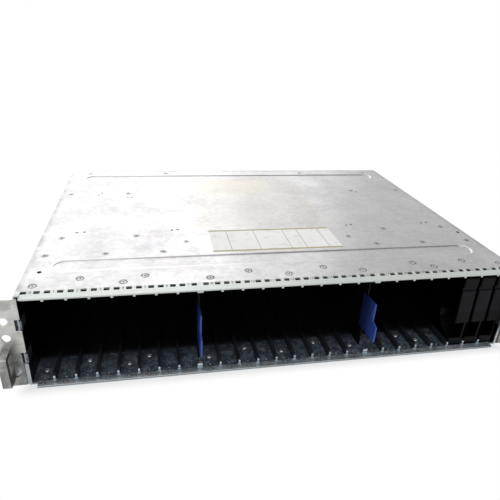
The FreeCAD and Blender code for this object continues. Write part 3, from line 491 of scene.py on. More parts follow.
@dataclass(frozen=True)
class SheetSteel:
    """Zinc-plated sheet: clouds, small crystals, rolling lines and scratches."""

    name: str
    light: Colour
    dark: Colour
    stain: Colour
    roughness: float = 0.34
    metallic: float = 0.85
    cloud_size: float = 0.045
    crystal_size: float = 0.0035
    lines: Triple = (1.0, 26.0, 26.0)
    cloud_weight: float = 0.62
    crystal_weight: float = 0.14
    line_weight: float = 0.24
    contrast: Pair = (0.28, 0.72)
    stain_share: float = 0.35
    scratch_share: float = 0.35
    scratch_depth: float = 0.00002

    def tone(self, sheet: NodeSheet) -> tuple[Socket, Socket, Socket]:
        """Return colour, roughness and normal of the bare sheet.

        Args:
            sheet: Graph to build in.

        Returns:
            The three sockets.
        """
        cloud = sheet.noise(self.cloud_size, 5.0, 0.6)
        crystal = sheet.crystals(self.crystal_size)
        rolled = sheet.noise(0.02, 3.0, 0.6, self.lines)
        mixed = sheet.calc("ADD", sheet.times(cloud, self.cloud_weight),
                           sheet.times(crystal, self.crystal_weight))
        mixed = sheet.calc("ADD", mixed, sheet.times(rolled, self.line_weight))
        colour = sheet.blend(sheet.remap(mixed, *self.contrast), self.dark, self.light)
        patch = sheet.remap(sheet.noise(0.03, 4.0, 0.62, (1.0, 1.3, 0.8)), 0.52, 0.72)
        colour = sheet.paint(colour, self.stain, patch, self.stain_share)
        scratch = self.scratches(sheet)
        colour = sheet.paint(colour, self.light, scratch, self.scratch_share)
        rough = sheet.remap(mixed, 0.25, 0.75, self.roughness + 0.09, self.roughness - 0.06)
        normal = sheet.relief(rolled, self.scratch_depth)
        normal = sheet.relief(scratch, -self.scratch_depth, normal)
        return colour, rough, normal

    def scratches(self, sheet: NodeSheet) -> Socket:
        """Return thin straight scratches in two directions.

        Args:
            sheet: Graph to build in.

        Returns:
            Value socket, 1 in a scratch.
        """
        along = sheet.noise(0.013, 1.0, 0.4, (0.35, 9.0, 6.0))
        across = sheet.noise(0.017, 1.0, 0.4, (7.0, 0.4, 5.0))
        return sheet.most(sheet.remap(along, 0.70, 0.76), sheet.remap(across, 0.72, 0.78))

    def wear(self, sheet: NodeSheet, colour: Socket) -> Socket:
        """Return the colour as it is, since plain sheet has no marks of its own."""
        return colour

    def build(self) -> bpy.types.Material:
        """Build the finish.

        Returns:
            The material.
        """
        sheet = NodeSheet(self.name)
        colour, rough, normal = self.tone(sheet)
        return sheet.surface(self.wear(sheet, colour), rough, normal, Metallic=self.metallic)


@dataclass(frozen=True)
class FadingSteel(SheetSteel):
    """Sheet that is bright at its front edge, with painted shade further in."""

    start: float = 0.0
    end: float = 0.0
    deep: Colour = (0.0, 0.0, 0.0)

    def wear(self, sheet: NodeSheet, colour: Socket) -> Socket:
        """Return the colour with painted shade on the inner part.

        Args:
            sheet: Graph to build in.
            colour: Colour of the bare sheet.

        Returns:
            Colour socket.
        """
        inward = sheet.remap(sheet.coordinate(Axis.Y), self.start, self.end)
        return sheet.blend(inward, colour, self.deep)


@dataclass(frozen=True)
class CoverSteel(SheetSteel):
    """Bright cover sheet: pressed beads with painted highlights, rivets, screw marks with painted
    shade, an empty label.
    """

    rivets: tuple[Triple, ...] = ()
    screws: tuple[Triple, ...] = ()
    slits: tuple[Triple, ...] = ()
    front: float = 0.0
    top: float = 0.0
    beads: tuple[float, ...] = ()
    bead_half: float = 0.203
    bead_radius: float = 0.0108
    label_low: Pair = (0.0, 0.0)
    label_high: Pair = (0.0, 0.0)
    label_border: float = 0.0032
    label_line: float = 0.0003
    label_cells: tuple[float, ...] = (0.14, 0.36, 0.60, 0.72, 0.90)
    paper: Colour = (0.88, 0.88, 0.86)
    border: Colour = (0.30, 0.24, 0.07)
    print_grey: Colour = (0.20, 0.20, 0.20)
    residue: Colour = (0.31, 0.275, 0.21)
    old_paper: Colour = (0.42, 0.39, 0.33)
    # painted shade in the gaps round rivets, in screw slots and at slits
    soot: Colour = (0.035, 0.035, 0.04)
    rivet_ring: Pair = (0.0022, 0.0037)
    screw_ring: Pair = (0.0021, 0.0032)
    pit: Pair = (0.0012, 0.0018)
    pit_depth: float = 0.0002
    paper_rough: float = 0.14
    skin: float = 0.001
    # painted highlights on the beads: a glint at the right ends and a lighter left flank
    glint: Colour = (0.95, 0.95, 0.95)
    polished: Colour = (0.72, 0.72, 0.72)
    strip_tint: Colour = (0.60, 0.65, 0.61)
    strip_share: float = 0.55
    strip_back: float = 0.0129
    rim_half: float = 0.2195
    rim_back: float = 0.0
    handled_tone: Colour = (0.20, 0.20, 0.21)

    def build(self) -> bpy.types.Material:
        """Build the finish.

        Returns:
            The material.
        """
        sheet = NodeSheet(self.name)
        colour, rough, normal = self.tone(sheet)
        colour = self.old_label(sheet, self.wear(sheet, colour))
        colour, paper = self.label(sheet, colour)
        # painted shade in rivet gaps, screw slots and slits
        dark = self.marks(sheet)
        colour = sheet.blend(dark, colour, self.soot)
        rough = sheet.calc("ADD", rough, sheet.times(paper, self.paper_rough))
        metal = sheet.times(sheet.rest(paper), self.metallic)
        normal = sheet.relief(dark, -self.pit_depth, normal)
        for bead in self.beads:
            colour, normal = self.press(sheet, bead, colour, normal)
        return sheet.surface(colour, rough, normal, Metallic=metal)

    def wear(self, sheet: NodeSheet, colour: Socket) -> Socket:
        """Return the colour with the tinted front strip and the handled rim.

        Args:
            sheet: Graph to build in.
            colour: Colour of the bare sheet.

        Returns:
            Colour socket.
        """
        bend = self.front + self.strip_back
        strip = sheet.dot(sheet.coordinate(Axis.Y), bend - 0.4 * MM, bend + 0.4 * MM)
        colour = sheet.paint(colour, self.strip_tint, strip, self.strip_share)
        inner = sheet.block((-self.rim_half, self.front - 10 * MM, -BEYOND),
                            (self.rim_half, self.rim_back, BEYOND), 3 * MM)
        handled = sheet.remap(sheet.noise(0.012, 4.0, 0.65), 0.35, 0.65, 0.15, 0.75)
        return sheet.paint(colour, self.handled_tone, sheet.rest(inner), handled)

    def press(self, sheet: NodeSheet, bead: float, colour: Socket,
              normal: Socket) -> tuple[Socket, Socket]:
        """Return the colour and the normal of one pressed bead, with painted highlights on its
        rim.

        Args:
            sheet: Graph to build in.
            bead: Place of the bead's long axis along Y.
            colour: Colour so far.
            normal: Normal so far.

        Returns:
            Colour socket and normal socket.
        """
        along = sheet.coordinate(Axis.X)
        right_end = sheet.remap(along, self.bead_half - self.bead_radius, self.bead_half)
        left_end = sheet.remap(along, -self.bead_half, 40 * MM, 0.75, 0.0)
        gap = sheet.stadium(bead, self.bead_half, self.bead_radius)
        normal = sheet.relief(sheet.remap(gap, -1.6 * MM, 0.8 * MM), 0.3 * MM, normal)
        rim = sheet.ring(gap, -1.4 * MM, 0.2 * MM, 0.3 * MM)
        # painted highlights: glint on the right end's rim, lighter flank at the left, light line
        # on the edge
        colour = sheet.paint(colour, self.glint, rim, right_end)
        flank = sheet.ring(gap, -3.0 * MM, 0.4 * MM, 0.6 * MM)
        colour = sheet.paint(colour, self.polished, flank, left_end)
        edge = sheet.ring(gap, -0.3 * MM, 0.3 * MM, 0.1 * MM)
        return sheet.paint(colour, self.light, edge, 0.6), normal

    def old_label(self, sheet: NodeSheet, colour: Socket) -> Socket:
        """Return the colour with what an old label left behind the present one.

        Args:
            sheet: Graph to build in.
            colour: Colour of the sheet.

        Returns:
            Colour socket.
        """
        middle = (self.label_low[0] + self.label_high[0]) / 2
        low, high = self.top - self.skin, self.top + self.skin
        glue = sheet.block((middle - 78 * MM, self.label_high[1] + 4 * MM, low),
                           (middle + 70 * MM, self.front + 300 * MM, high), 12 * MM)
        patchy = sheet.remap(sheet.noise(0.022, 5.0, 0.65), 0.35, 0.62, 0.45, 1.0)
        colour = sheet.paint(colour, self.residue, glue, patchy)
        slip = sheet.block((middle - 62 * MM, self.front + 232 * MM, low),
                           (middle + 30 * MM, self.front + 288 * MM, high), 1.5 * MM)
        left_over = sheet.remap(sheet.noise(0.006, 4.0, 0.7), 0.42, 0.60, 0.9, 0.35)
        return sheet.paint(colour, self.old_paper, slip, left_over)

    def label(self, sheet: NodeSheet, colour: Socket) -> tuple[Socket, Socket]:
        """Return the colour with an empty form label, and 1 where the label lies.

        Args:
            sheet: Graph to build in.
            colour: Colour of the sheet.

        Returns:
            Colour socket and value socket.
        """
        low, high = self.label_low, self.label_high
        paper = sheet.block((*low, self.top - self.skin), (*high, self.top + self.skin),
                            0.15 * MM)
        dirt = sheet.remap(sheet.noise(0.010, 5.0, 0.7), 0.50, 0.75, 0.0, 0.35)
        soiled = sheet.blend(dirt, self.paper, self.residue)
        colour = sheet.paint(colour, soiled, paper, 0.95)
        inside = sheet.band(Axis.Y, low[1] + self.label_border, high[1] - self.label_border,
                            0.15 * MM)
        colour = sheet.paint(colour, self.border, paper, sheet.rest(inside), 0.85)
        places = (low[0] + share * (high[0] - low[0]) for share in self.label_cells)
        lines = [sheet.band(Axis.X, place - self.label_line, place + self.label_line, 0.1 * MM)
                 for place in places]
        colour = sheet.paint(colour, self.print_grey, sheet.most(*lines), paper, inside, 0.8)
        return colour, paper

    def marks(self, sheet: NodeSheet) -> Socket:
        """Return how much painted shade darkens the gaps round rivets, the screw slots and the
        slits.

        Args:
            sheet: Graph to build in.

        Returns:
            Value socket.
        """
        broken = sheet.remap(sheet.noise(0.0022, 3.0, 0.6), 0.35, 0.60, 0.35, 1.0)
        rivet = sheet.nearest(self.rivets, Axis.Z)
        moat = sheet.times(sheet.ring(rivet, *self.rivet_ring, 0.4 * MM), broken, 0.85)
        screw = sheet.nearest(self.screws, Axis.Z)
        rim = sheet.times(sheet.ring(screw, *self.screw_ring, 0.3 * MM), broken, 0.8)
        slot = sheet.times(sheet.dot(screw, *self.pit), 0.95)
        nick = sheet.times(sheet.dot(sheet.nearest(self.slits, Axis.Z), *self.pit), 0.9)
        return sheet.most(moat, rim, slot, nick)


@dataclass(frozen=True)
class RivetSteel(SheetSteel):
    """Rivet head with a painted middle: painted shade in a flush head's pit, a painted highlight
    on a dome.
    """

    spots: tuple[Triple, ...] = ()
    flatten: Axis = Axis.Z
    middle: Colour = (0.03, 0.03, 0.035)
    middle_reach: float = 0.0013
    middle_core: float = 0.6
    middle_share: float = 0.9

    def wear(self, sheet: NodeSheet, colour: Socket) -> Socket:
        """Return the colour with the middles painted in the middle tone.

        Args:
            sheet: Graph to build in.
            colour: Colour of the bare sheet.

        Returns:
            Colour socket.
        """
        gap = sheet.nearest(self.spots, self.flatten)
        pit = sheet.remap(gap, self.middle_reach * self.middle_core, self.middle_reach,
                          self.middle_share, 0.0)
        return sheet.blend(pit, colour, self.middle)


@dataclass(frozen=True)
class EarSteel(SheetSteel):
    """Sheet of the ears: painted shade at its foot and where it runs on inside, a grey slip near
    the top.
    """

    inner_half: float = 0.2216
    inner_front: float = 0.0
    shade_in: Colour = (0.006, 0.006, 0.007)
    slip_low: Triple = (0.0, 0.0, 0.0)
    slip_high: Triple = (0.0, 0.0, 0.0)
    slip: Colour = (0.30, 0.31, 0.30)
    slip_share: float = 0.45
    foot: float = 0.040
    foot_tone: Colour = (0.36, 0.39, 0.41)

    def wear(self, sheet: NodeSheet, colour: Socket) -> Socket:
        """Return the colour with painted shade at the foot, the slip and painted shade on the
        inner leg.

        Args:
            sheet: Graph to build in.
            colour: Colour of the bare sheet.

        Returns:
            Colour socket.
        """
        # painted shade low on the ear, broken by noise
        low = sheet.dot(sheet.coordinate(Axis.Z), self.foot - 12 * MM, self.foot + 4 * MM)
        worn = sheet.remap(sheet.noise(0.009, 5.0, 0.65), 0.3, 0.7, 1.0, 0.45)
        colour = sheet.paint(colour, self.foot_tone, low, worn)
        slip = sheet.block(self.slip_low, self.slip_high, 0.2 * MM)
        colour = sheet.paint(colour, self.slip, slip, self.slip_share)
        # painted shade on the inner leg
        inside = sheet.block((-self.inner_half, self.inner_front, -BEYOND),
                             (self.inner_half, BEYOND, BEYOND), 0.1 * MM)
        return sheet.blend(inside, colour, self.shade_in)


@dataclass(frozen=True)
class TraySteel(SheetSteel):
    """Sheet of the tray: painted shade inside, and a speckled hem with a painted highlight at its
    front edge.
    """

    front: float = 0.0
    hem_depth: float = 0.0064
    hem_top: float = 0.0022
    plate: Colour = (0.058, 0.076, 0.104)
    plate_light: Colour = (0.21, 0.26, 0.33)
    plate_end: float = 0.045
    fleck: Colour = (0.70, 0.73, 0.76)
    dimples: tuple[Triple, ...] = ()
    dimple_radius: float = 0.0009
    plate_metallic: float = 0.2
    plate_low: float = 0.0008
    plate_high: float = 0.0035
    lip: float = 0.0007
    inside_tone: Colour = (0.004, 0.004, 0.005)
    filled_from: float = 0.168
    speck: Colour = (0.05, 0.058, 0.065)
    rim: Colour = (0.27, 0.30, 0.32)
    rubbed: Colour = (0.62, 0.66, 0.68)
    peg: Colour = (0.42, 0.56, 0.68)
    peg_tip: Colour = (0.92, 0.95, 0.95)
    inner_half: float = 0.2219
    inner_depth: float = 0.160
    inner_top: float = 0.0848

    def build(self) -> bpy.types.Material:
        """Build the finish.

        Returns:
            The material.
        """
        sheet = NodeSheet(self.name)
        colour, rough, normal = self.tone(sheet)
        for layer in (self.interior, self.hem, self.pegs, self.pits):
            colour = layer(sheet, colour)
        dull = sheet.block((-BEYOND, self.front + self.lip, self.plate_low),
                           (BEYOND, self.front + self.plate_end, self.plate_high), 0.2 * MM)
        metal = sheet.remap(dull, 0.0, 1.0, self.metallic, self.plate_metallic)
        return sheet.surface(colour, rough, normal, Metallic=metal)

    def hem(self, sheet: NodeSheet, colour: Socket) -> Socket:
        """Return the colour with the hem's specks, a painted highlight on its nose and its front
        face.

        Args:
            sheet: Graph to build in.
            colour: Colour so far.

        Returns:
            Colour socket.
        """
        front, top = self.front, self.hem_top
        flat = sheet.block((-BEYOND, front + self.lip, top - 0.4 * MM),
                           (BEYOND, front + self.hem_depth - 0.3 * MM, top + 0.2 * MM), 0.2 * MM)
        spots = sheet.dot(sheet.noise(0.0035, 5.0, 0.75), 0.40, 0.58)
        colour = sheet.paint(colour, self.speck, flat, spots, 0.65)
        # painted highlight along the nose, stronger at the left
        nose = sheet.block((-BEYOND, front - 1 * MM, top - 0.6 * MM),
                           (BEYOND, front + 1.8 * MM, top + 0.4 * MM), 0.4 * MM)
        left = sheet.remap(sheet.coordinate(Axis.X), -120 * MM, 20 * MM, 0.8, 0.1)
        colour = sheet.paint(colour, self.rubbed, nose, left)
        face = sheet.block((-BEYOND, front - 1 * MM, -1 * MM),
                           (BEYOND, front + 0.6 * MM, top - 0.9 * MM), 0.3 * MM)
        return sheet.paint(colour, self.rim, face, 0.8)

    def pegs(self, sheet: NodeSheet, colour: Socket) -> Socket:
        """Return the colour with the blue-grey pegs on the hem and their bright tips.

        Args:
            sheet: Graph to build in.
            colour: Colour so far.

        Returns:
            Colour socket.
        """
        pegs = sheet.block((-BEYOND, self.front + 3.5 * MM, self.hem_top + 0.2 * MM),
                           (BEYOND, self.front + self.hem_depth + 0.3 * MM, 7.1 * MM), 0.1 * MM)
        tips = sheet.remap(sheet.coordinate(Axis.Z), 5.0 * MM, 5.8 * MM)
        return sheet.blend(pegs, colour, sheet.blend(tips, self.peg, self.peg_tip))

    def pits(self, sheet: NodeSheet, colour: Socket) -> Socket:
        """Return the colour with the small dimples of the hem and the floor: painted shade round
        each, a painted highlight in its middle.

        Args:
            sheet: Graph to build in.
            colour: Colour so far.

        Returns:
            Colour socket.
        """
        gap = sheet.nearest(self.dimples, Axis.Z)
        radius = self.dimple_radius
        flat = sheet.dot(sheet.coordinate(Axis.Z), 2.6 * MM, 3.0 * MM)
        # painted shade round each dimple and a painted highlight in its middle
        moat = sheet.ring(gap, radius, radius * 1.7, 0.2 * MM)
        colour = sheet.paint(colour, self.inside_tone, moat, flat, 0.7)
        return sheet.paint(colour, self.fleck, sheet.dot(gap, radius * 0.7, radius), flat, 0.8)

    def interior(self, sheet: NodeSheet, colour: Socket) -> Socket:
        """Return the colour with painted shade inside and the scuffed floor plates fading into it
        further in.

        Args:
            sheet: Graph to build in.
            colour: Colour of the bare sheet.

        Returns:
            Colour socket.
        """
        low = (-self.inner_half, self.front + self.hem_depth - 0.2 * MM, self.plate_low)
        # painted shade inside the tray
        inside = sheet.block(low, (self.inner_half, self.front + self.inner_depth,
                                   self.inner_top), 0.2 * MM)
        colour = sheet.blend(inside, colour, self.inside_tone)
        end = self.front + self.plate_end
        floor = sheet.block(low, (self.filled_from, end, self.plate_high), 0.4 * MM)
        # the plates give way to painted shade further in
        fade = sheet.remap(sheet.coordinate(Axis.Y), self.front + 20 * MM, end, 1.0, 0.35)
        worn = sheet.remap(sheet.noise(0.006, 6.0, 0.75), 0.42, 0.68)
        plates = sheet.blend(worn, self.plate, self.plate_light)
        flecks = sheet.remap(sheet.noise(0.0016, 3.0, 0.6), 0.63, 0.70)
        plates = sheet.blend(flecks, plates, self.fleck)
        return sheet.paint(colour, plates, floor, fade)


@dataclass(frozen=True)
class Moulding:
    """Injection-moulded plastic with a fine spark-eroded grain and paler worn edges."""

    name: str
    base: Colour
    worn: Colour
    roughness: float = 0.45
    grain: float = 0.0006
    grain_depth: float = 0.00003
    edge: float = 0.0004
    mirror: float = 0.5
    edge_share: float = 0.55
    dust_share: float = 0.35

    def build(self) -> bpy.types.Material:
        """Build the finish.

        Returns:
            The material.
        """
        sheet = NodeSheet(self.name)
        dust = sheet.noise(0.02, 4.0, 0.6)
        colour = sheet.blend(sheet.remap(dust, 0.35, 0.8, 0.0, self.dust_share), self.base,
                             self.worn)
        colour = sheet.paint(colour, self.worn, sheet.worn_edges(self.edge), self.edge_share)
        rough = sheet.remap(dust, 0.3, 0.75, self.roughness - 0.06, self.roughness + 0.08)
        normal = sheet.relief(sheet.noise(self.grain, 2.0, 0.6), self.grain_depth)
        return sheet.surface(self.fade(sheet, colour), rough, normal,
                             Specular_IOR_Level=self.mirror)

    def fade(self, sheet: NodeSheet, colour: Socket) -> Socket:
        """Return the colour as it is, since a plain moulding is even all over and has no painted
        shade.
        """
        return colour


@dataclass(frozen=True)
class FadingMoulding(Moulding):
    """Moulding that is pale in front, with painted shade further in and at set heights."""

    start: float = 0.0
    end: float = 0.0
    deep: Colour = (0.0, 0.0, 0.0)
    dim_bands: tuple[Triple, ...] = ()

    def fade(self, sheet: NodeSheet, colour: Socket) -> Socket:
        """Return the colour with painted shade further in and at the heights that see little
        light.

        Args:
            sheet: Graph to build in.
            colour: Colour of the unshaded moulding.

        Returns:
            Colour socket.
        """
        inward = sheet.remap(sheet.coordinate(Axis.Y), self.start, self.end)
        colour = sheet.blend(inward, colour, self.deep)
        for low, high, share in self.dim_bands:
            band = sheet.band(Axis.Z, low, high, 0.3 * MM)
            colour = sheet.paint(colour, self.deep, band, share)
        return colour


@dataclass(frozen=True)
class Casting:
    """Tumbled die casting: soft grain, rubbed pale edges and painted shade on its inner side."""

    name: str
    base: Colour
    shade: Colour
    rubbed: Colour
    grime: Colour | None = None
    roughness: float = 0.42
    metallic: float = 0.8
    grain_depth: float = 0.00005
    edge: float = 0.0006
    edge_share: float = 0.7

    def build(self) -> bpy.types.Material:
        """Build the finish.

        Returns:
            The material.
        """
        sheet = NodeSheet(self.name)
        cloud = sheet.noise(0.008, 5.0, 0.65)
        fine = sheet.noise(0.0007, 3.0, 0.6)
        colour = sheet.blend(sheet.remap(cloud, 0.3, 0.7), self.shade, self.base)
        colour = sheet.paint(colour, self.rubbed, sheet.worn_edges(self.edge), self.edge_share)
        if self.grime is not None:
            # painted shade on the faces that look inward
            colour = sheet.blend(sheet.facing_in(), colour, self.grime)
        rough = sheet.remap(cloud, 0.3, 0.7, self.roughness + 0.08, self.roughness - 0.05)
        normal = sheet.relief(fine, self.grain_depth)
        return sheet.surface(colour, rough, normal, Metallic=self.metallic)


@dataclass(frozen=True)
class CircuitBoard:
    """Solder-masked board with faint copper tracks, and the tones of what stands on it."""

    name: str
    mask: Colour = (0.010, 0.075, 0.035)
    copper: Colour = (0.06, 0.16, 0.06)
    parts_above: float = 1.0
    plug_ends: float = 0.0
    step: float = 0.0002
    track_size: float = 0.004
    track_share: float = 0.5
    track_depth: float = 0.00003
    roughness: float = 0.38
    coat: float = 0.3
    sink_metallic: float = 0.85
    sink: Colour = (0.46, 0.47, 0.49)
    plug: Colour = (0.012, 0.012, 0.013)

    def build(self) -> bpy.types.Material:
        """Build the finish.

        Returns:
            The material.
        """
        sheet = NodeSheet(self.name)
        across = sheet.crystals(self.track_size, (1.0, 0.25, 0.25))
        down = sheet.crystals(self.track_size, (0.25, 1.0, 1.0))
        track = sheet.most(sheet.remap(across, 0.62, 0.66), sheet.remap(down, 0.66, 0.70))
        colour = sheet.paint(self.mask, self.copper, track, self.track_share)
        above = sheet.remap(sheet.coordinate(Axis.Z), self.parts_above,
                            self.parts_above + self.step)
        behind = sheet.remap(sheet.coordinate(Axis.Y), self.plug_ends,
                             self.plug_ends + self.step)
        colour = sheet.blend(above, colour, sheet.blend(behind, self.plug, self.sink))
        normal = sheet.relief(sheet.times(track, sheet.rest(above)), self.track_depth)
        return sheet.surface(colour, self.roughness, normal, Coat_Weight=self.coat,
                             Metallic=sheet.times(above, behind, self.sink_metallic))


@dataclass(frozen=True)
class StampInk:
    """Dark, slightly broken ink of the slot numbers."""

    name: str
    base: Colour
    faded: Colour
    grain: float = 0.0012
    roughness: float = 0.6

    def build(self) -> bpy.types.Material:
        """Build the finish.

        Returns:
            The material.
        """
        sheet = NodeSheet(self.name)
        broken = sheet.remap(sheet.noise(self.grain, 4.0, 0.7), 0.40, 0.66)
        return sheet.surface(sheet.blend(broken, self.base, self.faded), self.roughness)


class Finishes:
    """Every finish of the shelf, built once.

    The numbers below are in millimetres: rows and spots from the hem and from the middle of the
    shelf, the last two from a board's lowest corner.
    """

    screw_rows: tuple[tuple[float, tuple[float, ...]], ...] = (
        (73.0, (108.0, 160.0, 212.0)), (93.0, (85.0,)), (110.0, (133.0, 203.5)),
        (236.0, (146.0, 212.0)), (318.0, (98.0, 199.0)))
    slit_spots: tuple[Pair, ...] = (
        (-191, 122), (-184, 123), (-98, 122), (-92, 123), (94, 122), (100, 123), (186, 122),
        (193, 123), (-180, 232), (-177, 239), (-146, 222), (-141, 223), (-199, 305), (152, 231))
    dimple_rows: Pair = (3.0, 10.0)
    board_top: float = 1.7
    plug_depth: float = 22.0

    def __init__(self) -> None:
        """Build the materials."""
        front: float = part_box("chassis_tray")[0].y
        self.cover = self.cover_sheet(front)
        dimples = tuple((spot[0], front + row * MM, 0.0)
                        for spot in self.spots("drive_connectors") for row in self.dimple_rows)
        self.tray = TraySteel("tray_sheet", (0.44, 0.48, 0.52), (0.20, 0.23, 0.26),
                              (0.34, 0.34, 0.31), front=front, dimples=dimples).build()
        self.sheets(front)
        self.fasteners()
        self.mouldings(front)
        self.board = CircuitBoard("circuit_board").build()
        self.cards = {level: self.card(level) for level in Level}
        self.ink = StampInk("slot_number_ink", (0.03, 0.03, 0.035), (0.16, 0.16, 0.17)).build()

    def cover_sheet(self, front: float) -> bpy.types.Material:
        """Build the finish of the cover.

        Args:
            front: Place of the hem along Y.

        Returns:
            The material.
        """
        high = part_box("top_cover")[1]
        screws = tuple((side * x * MM, front + y * MM, 0.0) for y, xs in self.screw_rows
                       for x in xs for side in (-1, 1))
        slits = tuple((x * MM, front + y * MM, 0.0) for x, y in self.slit_spots)
        return CoverSteel(
            "cover_sheet", (0.455, 0.450, 0.450), (0.365, 0.360, 0.370), (0.45, 0.43, 0.39),
            roughness=0.37, rivets=self.spots("cover_rivets"), screws=screws, slits=slits,
            front=front, top=high.z, beads=(front + 53 * MM, front + 299 * MM),
            rim_back=high.y - 4 * MM, label_low=(-61 * MM, front + 68 * MM),
            label_high=(69.6 * MM, front + 118 * MM), stain_share=0.25).build()

    def sheets(self, front: float) -> None:
        """Build the finishes of the other sheets.

        Args:
            front: Place of the hem along Y.
        """
        self.ear = EarSteel("ear_sheet", (0.62, 0.62, 0.57), (0.40, 0.415, 0.405),
                            (0.52, 0.50, 0.40), cloud_size=0.02, stain_share=0.5,
                            inner_front=front + 5 * MM, slip_low=(-0.2405, front, 0.076),
                            slip_high=(-0.2245, front + 5 * MM, 0.0835)).build()
        self.module = SheetSteel("module_sheet", (0.58, 0.60, 0.62), (0.36, 0.38, 0.40),
                                 (0.55, 0.54, 0.48)).build()
        # near black: painted shade on the sheets deep inside
        self.inner = SheetSteel("shaded_inner_sheet", (0.020, 0.021, 0.024), (0.006, 0.006, 0.008),
                                (0.015, 0.015, 0.014), roughness=0.5).build()
        # dividers: painted shade further in
        self.divider = FadingSteel("divider_sheet", (0.30, 0.31, 0.32), (0.16, 0.17, 0.18),
                                   (0.24, 0.24, 0.22), roughness=0.45, start=front + 8 * MM,
                                   end=front + 10 * MM, deep=(0.008, 0.008, 0.010)).build()
        self.spring = SheetSteel("spring_steel", (0.24, 0.25, 0.26), (0.07, 0.075, 0.09),
                                 (0.2, 0.2, 0.19), roughness=0.32, cloud_size=0.006).build()
        self.port = SheetSteel("port_shell", (0.74, 0.75, 0.77), (0.52, 0.53, 0.55),
                               (0.6, 0.6, 0.55), roughness=0.22, cloud_size=0.01).build()
        # dark strips behind the ears' windows: painted shade
        self.backing = SheetSteel("window_shade_steel", (0.035, 0.04, 0.06), (0.012, 0.013, 0.02),
                                  (0.03, 0.03, 0.03), roughness=0.5, cloud_size=0.006,
                                  metallic=0.3).build()

    def fasteners(self) -> None:
        """Build the finishes of the rivets, the pull handles and the converters."""
        # floor domes: the white middle is a painted highlight
        self.rivet = RivetSteel("rivet_steel", (0.62, 0.64, 0.66), (0.40, 0.41, 0.43),
                                (0.45, 0.45, 0.43), roughness=0.42, metallic=0.9,
                                cloud_size=0.004, spots=self.spots("floor_rivets"),
                                middle=(1.0, 1.0, 1.0), middle_reach=0.0024).build()
        # flush heads: the dark middle is painted shade in the pit
        flush = RivetSteel("flush_rivet_steel", (0.62, 0.62, 0.62), (0.42, 0.42, 0.43),
                           (0.5, 0.48, 0.44), roughness=0.3, cloud_size=0.004,
                           spots=self.spots("cover_rivets"))
        self.flush = flush.build()
        self.side_rivet = replace(flush, name="side_rivet_steel", flatten=Axis.X,
                                  spots=self.spots("ear_rivets")).build()
        # handles: painted shade on the inner side
        self.handle = Casting("handle_casting", (0.36, 0.36, 0.34), (0.17, 0.175, 0.17),
                              (0.60, 0.60, 0.57), grime=(0.085, 0.09, 0.09)).build()
        self.core = Casting("core_metal", (0.40, 0.41, 0.43), (0.24, 0.25, 0.27),
                            (0.6, 0.6, 0.62)).build()

    def mouldings(self, front: float) -> None:
        """Build the finishes of the plastics.

        Args:
            front: Place of the hem along Y.
        """
        # clips, floor guides and fillers: painted shade further in, and on the fillers at set
        # heights
        self.blue = FadingMoulding("clip_plastic", (0.030, 0.065, 0.32), (0.07, 0.14, 0.46),
                                   roughness=0.42, edge=0.0006, mirror=0.3,
                                   start=front - 4 * MM, end=front + 20 * MM,
                                   deep=(0.006, 0.017, 0.075)).build()
        self.black = Moulding("guide_plastic", (0.0016, 0.0016, 0.0019), (0.006, 0.006, 0.007),
                              roughness=0.6, mirror=0.10, edge_share=0.2).build()
        self.floor_guide = FadingMoulding("floor_guide_plastic", (0.014, 0.0155, 0.020),
                                          (0.050, 0.054, 0.062), roughness=0.5, mirror=0.2,
                                          edge_share=0.5, start=front + 22 * MM,
                                          end=front + 46 * MM,
                                          deep=(0.0016, 0.0016, 0.0019)).build()
        self.filler = FadingMoulding("filler_plastic", (0.0030, 0.0030, 0.0042),
                                     (0.020, 0.020, 0.025), roughness=0.45, grain=0.0009,
                                     mirror=0.10, start=front + 6.6 * MM, end=front + 9 * MM,
                                     deep=(0.0004, 0.0004, 0.0006),
                                     dim_bands=((0.014, 0.0428, 0.9),
                                                (0.0690, 0.0900, 0.75))).build()
        self.lever = Moulding("lever_plastic", (0.030, 0.030, 0.034), (0.10, 0.10, 0.11),
                              roughness=0.4).build()
        self.fan = Moulding("fan_plastic", (0.008, 0.008, 0.009), (0.03, 0.03, 0.032),
                            roughness=0.38).build()

    def card(self, level: Level) -> bpy.types.Material:
        """Return the finish of a controller's circuit board with its heat sinks.

        Args:
            level: Which controller.

        Returns:
            The material.
        """
        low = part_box("controller_board_" + level.value)[0]
        return CircuitBoard("circuit_card_" + level.value,
                            parts_above=low.z + self.board_top * MM,
                            plug_ends=low.y + self.plug_depth * MM).build()

    @staticmethod
    def spots(node: str) -> tuple[Triple, ...]:
        """Return the middle of every separate solid of a node."""
        return tuple(tuple((low + high) / 2) for low, high in Piece.islands(node))


# ---- shared work -----------------------------------------------------------------------------


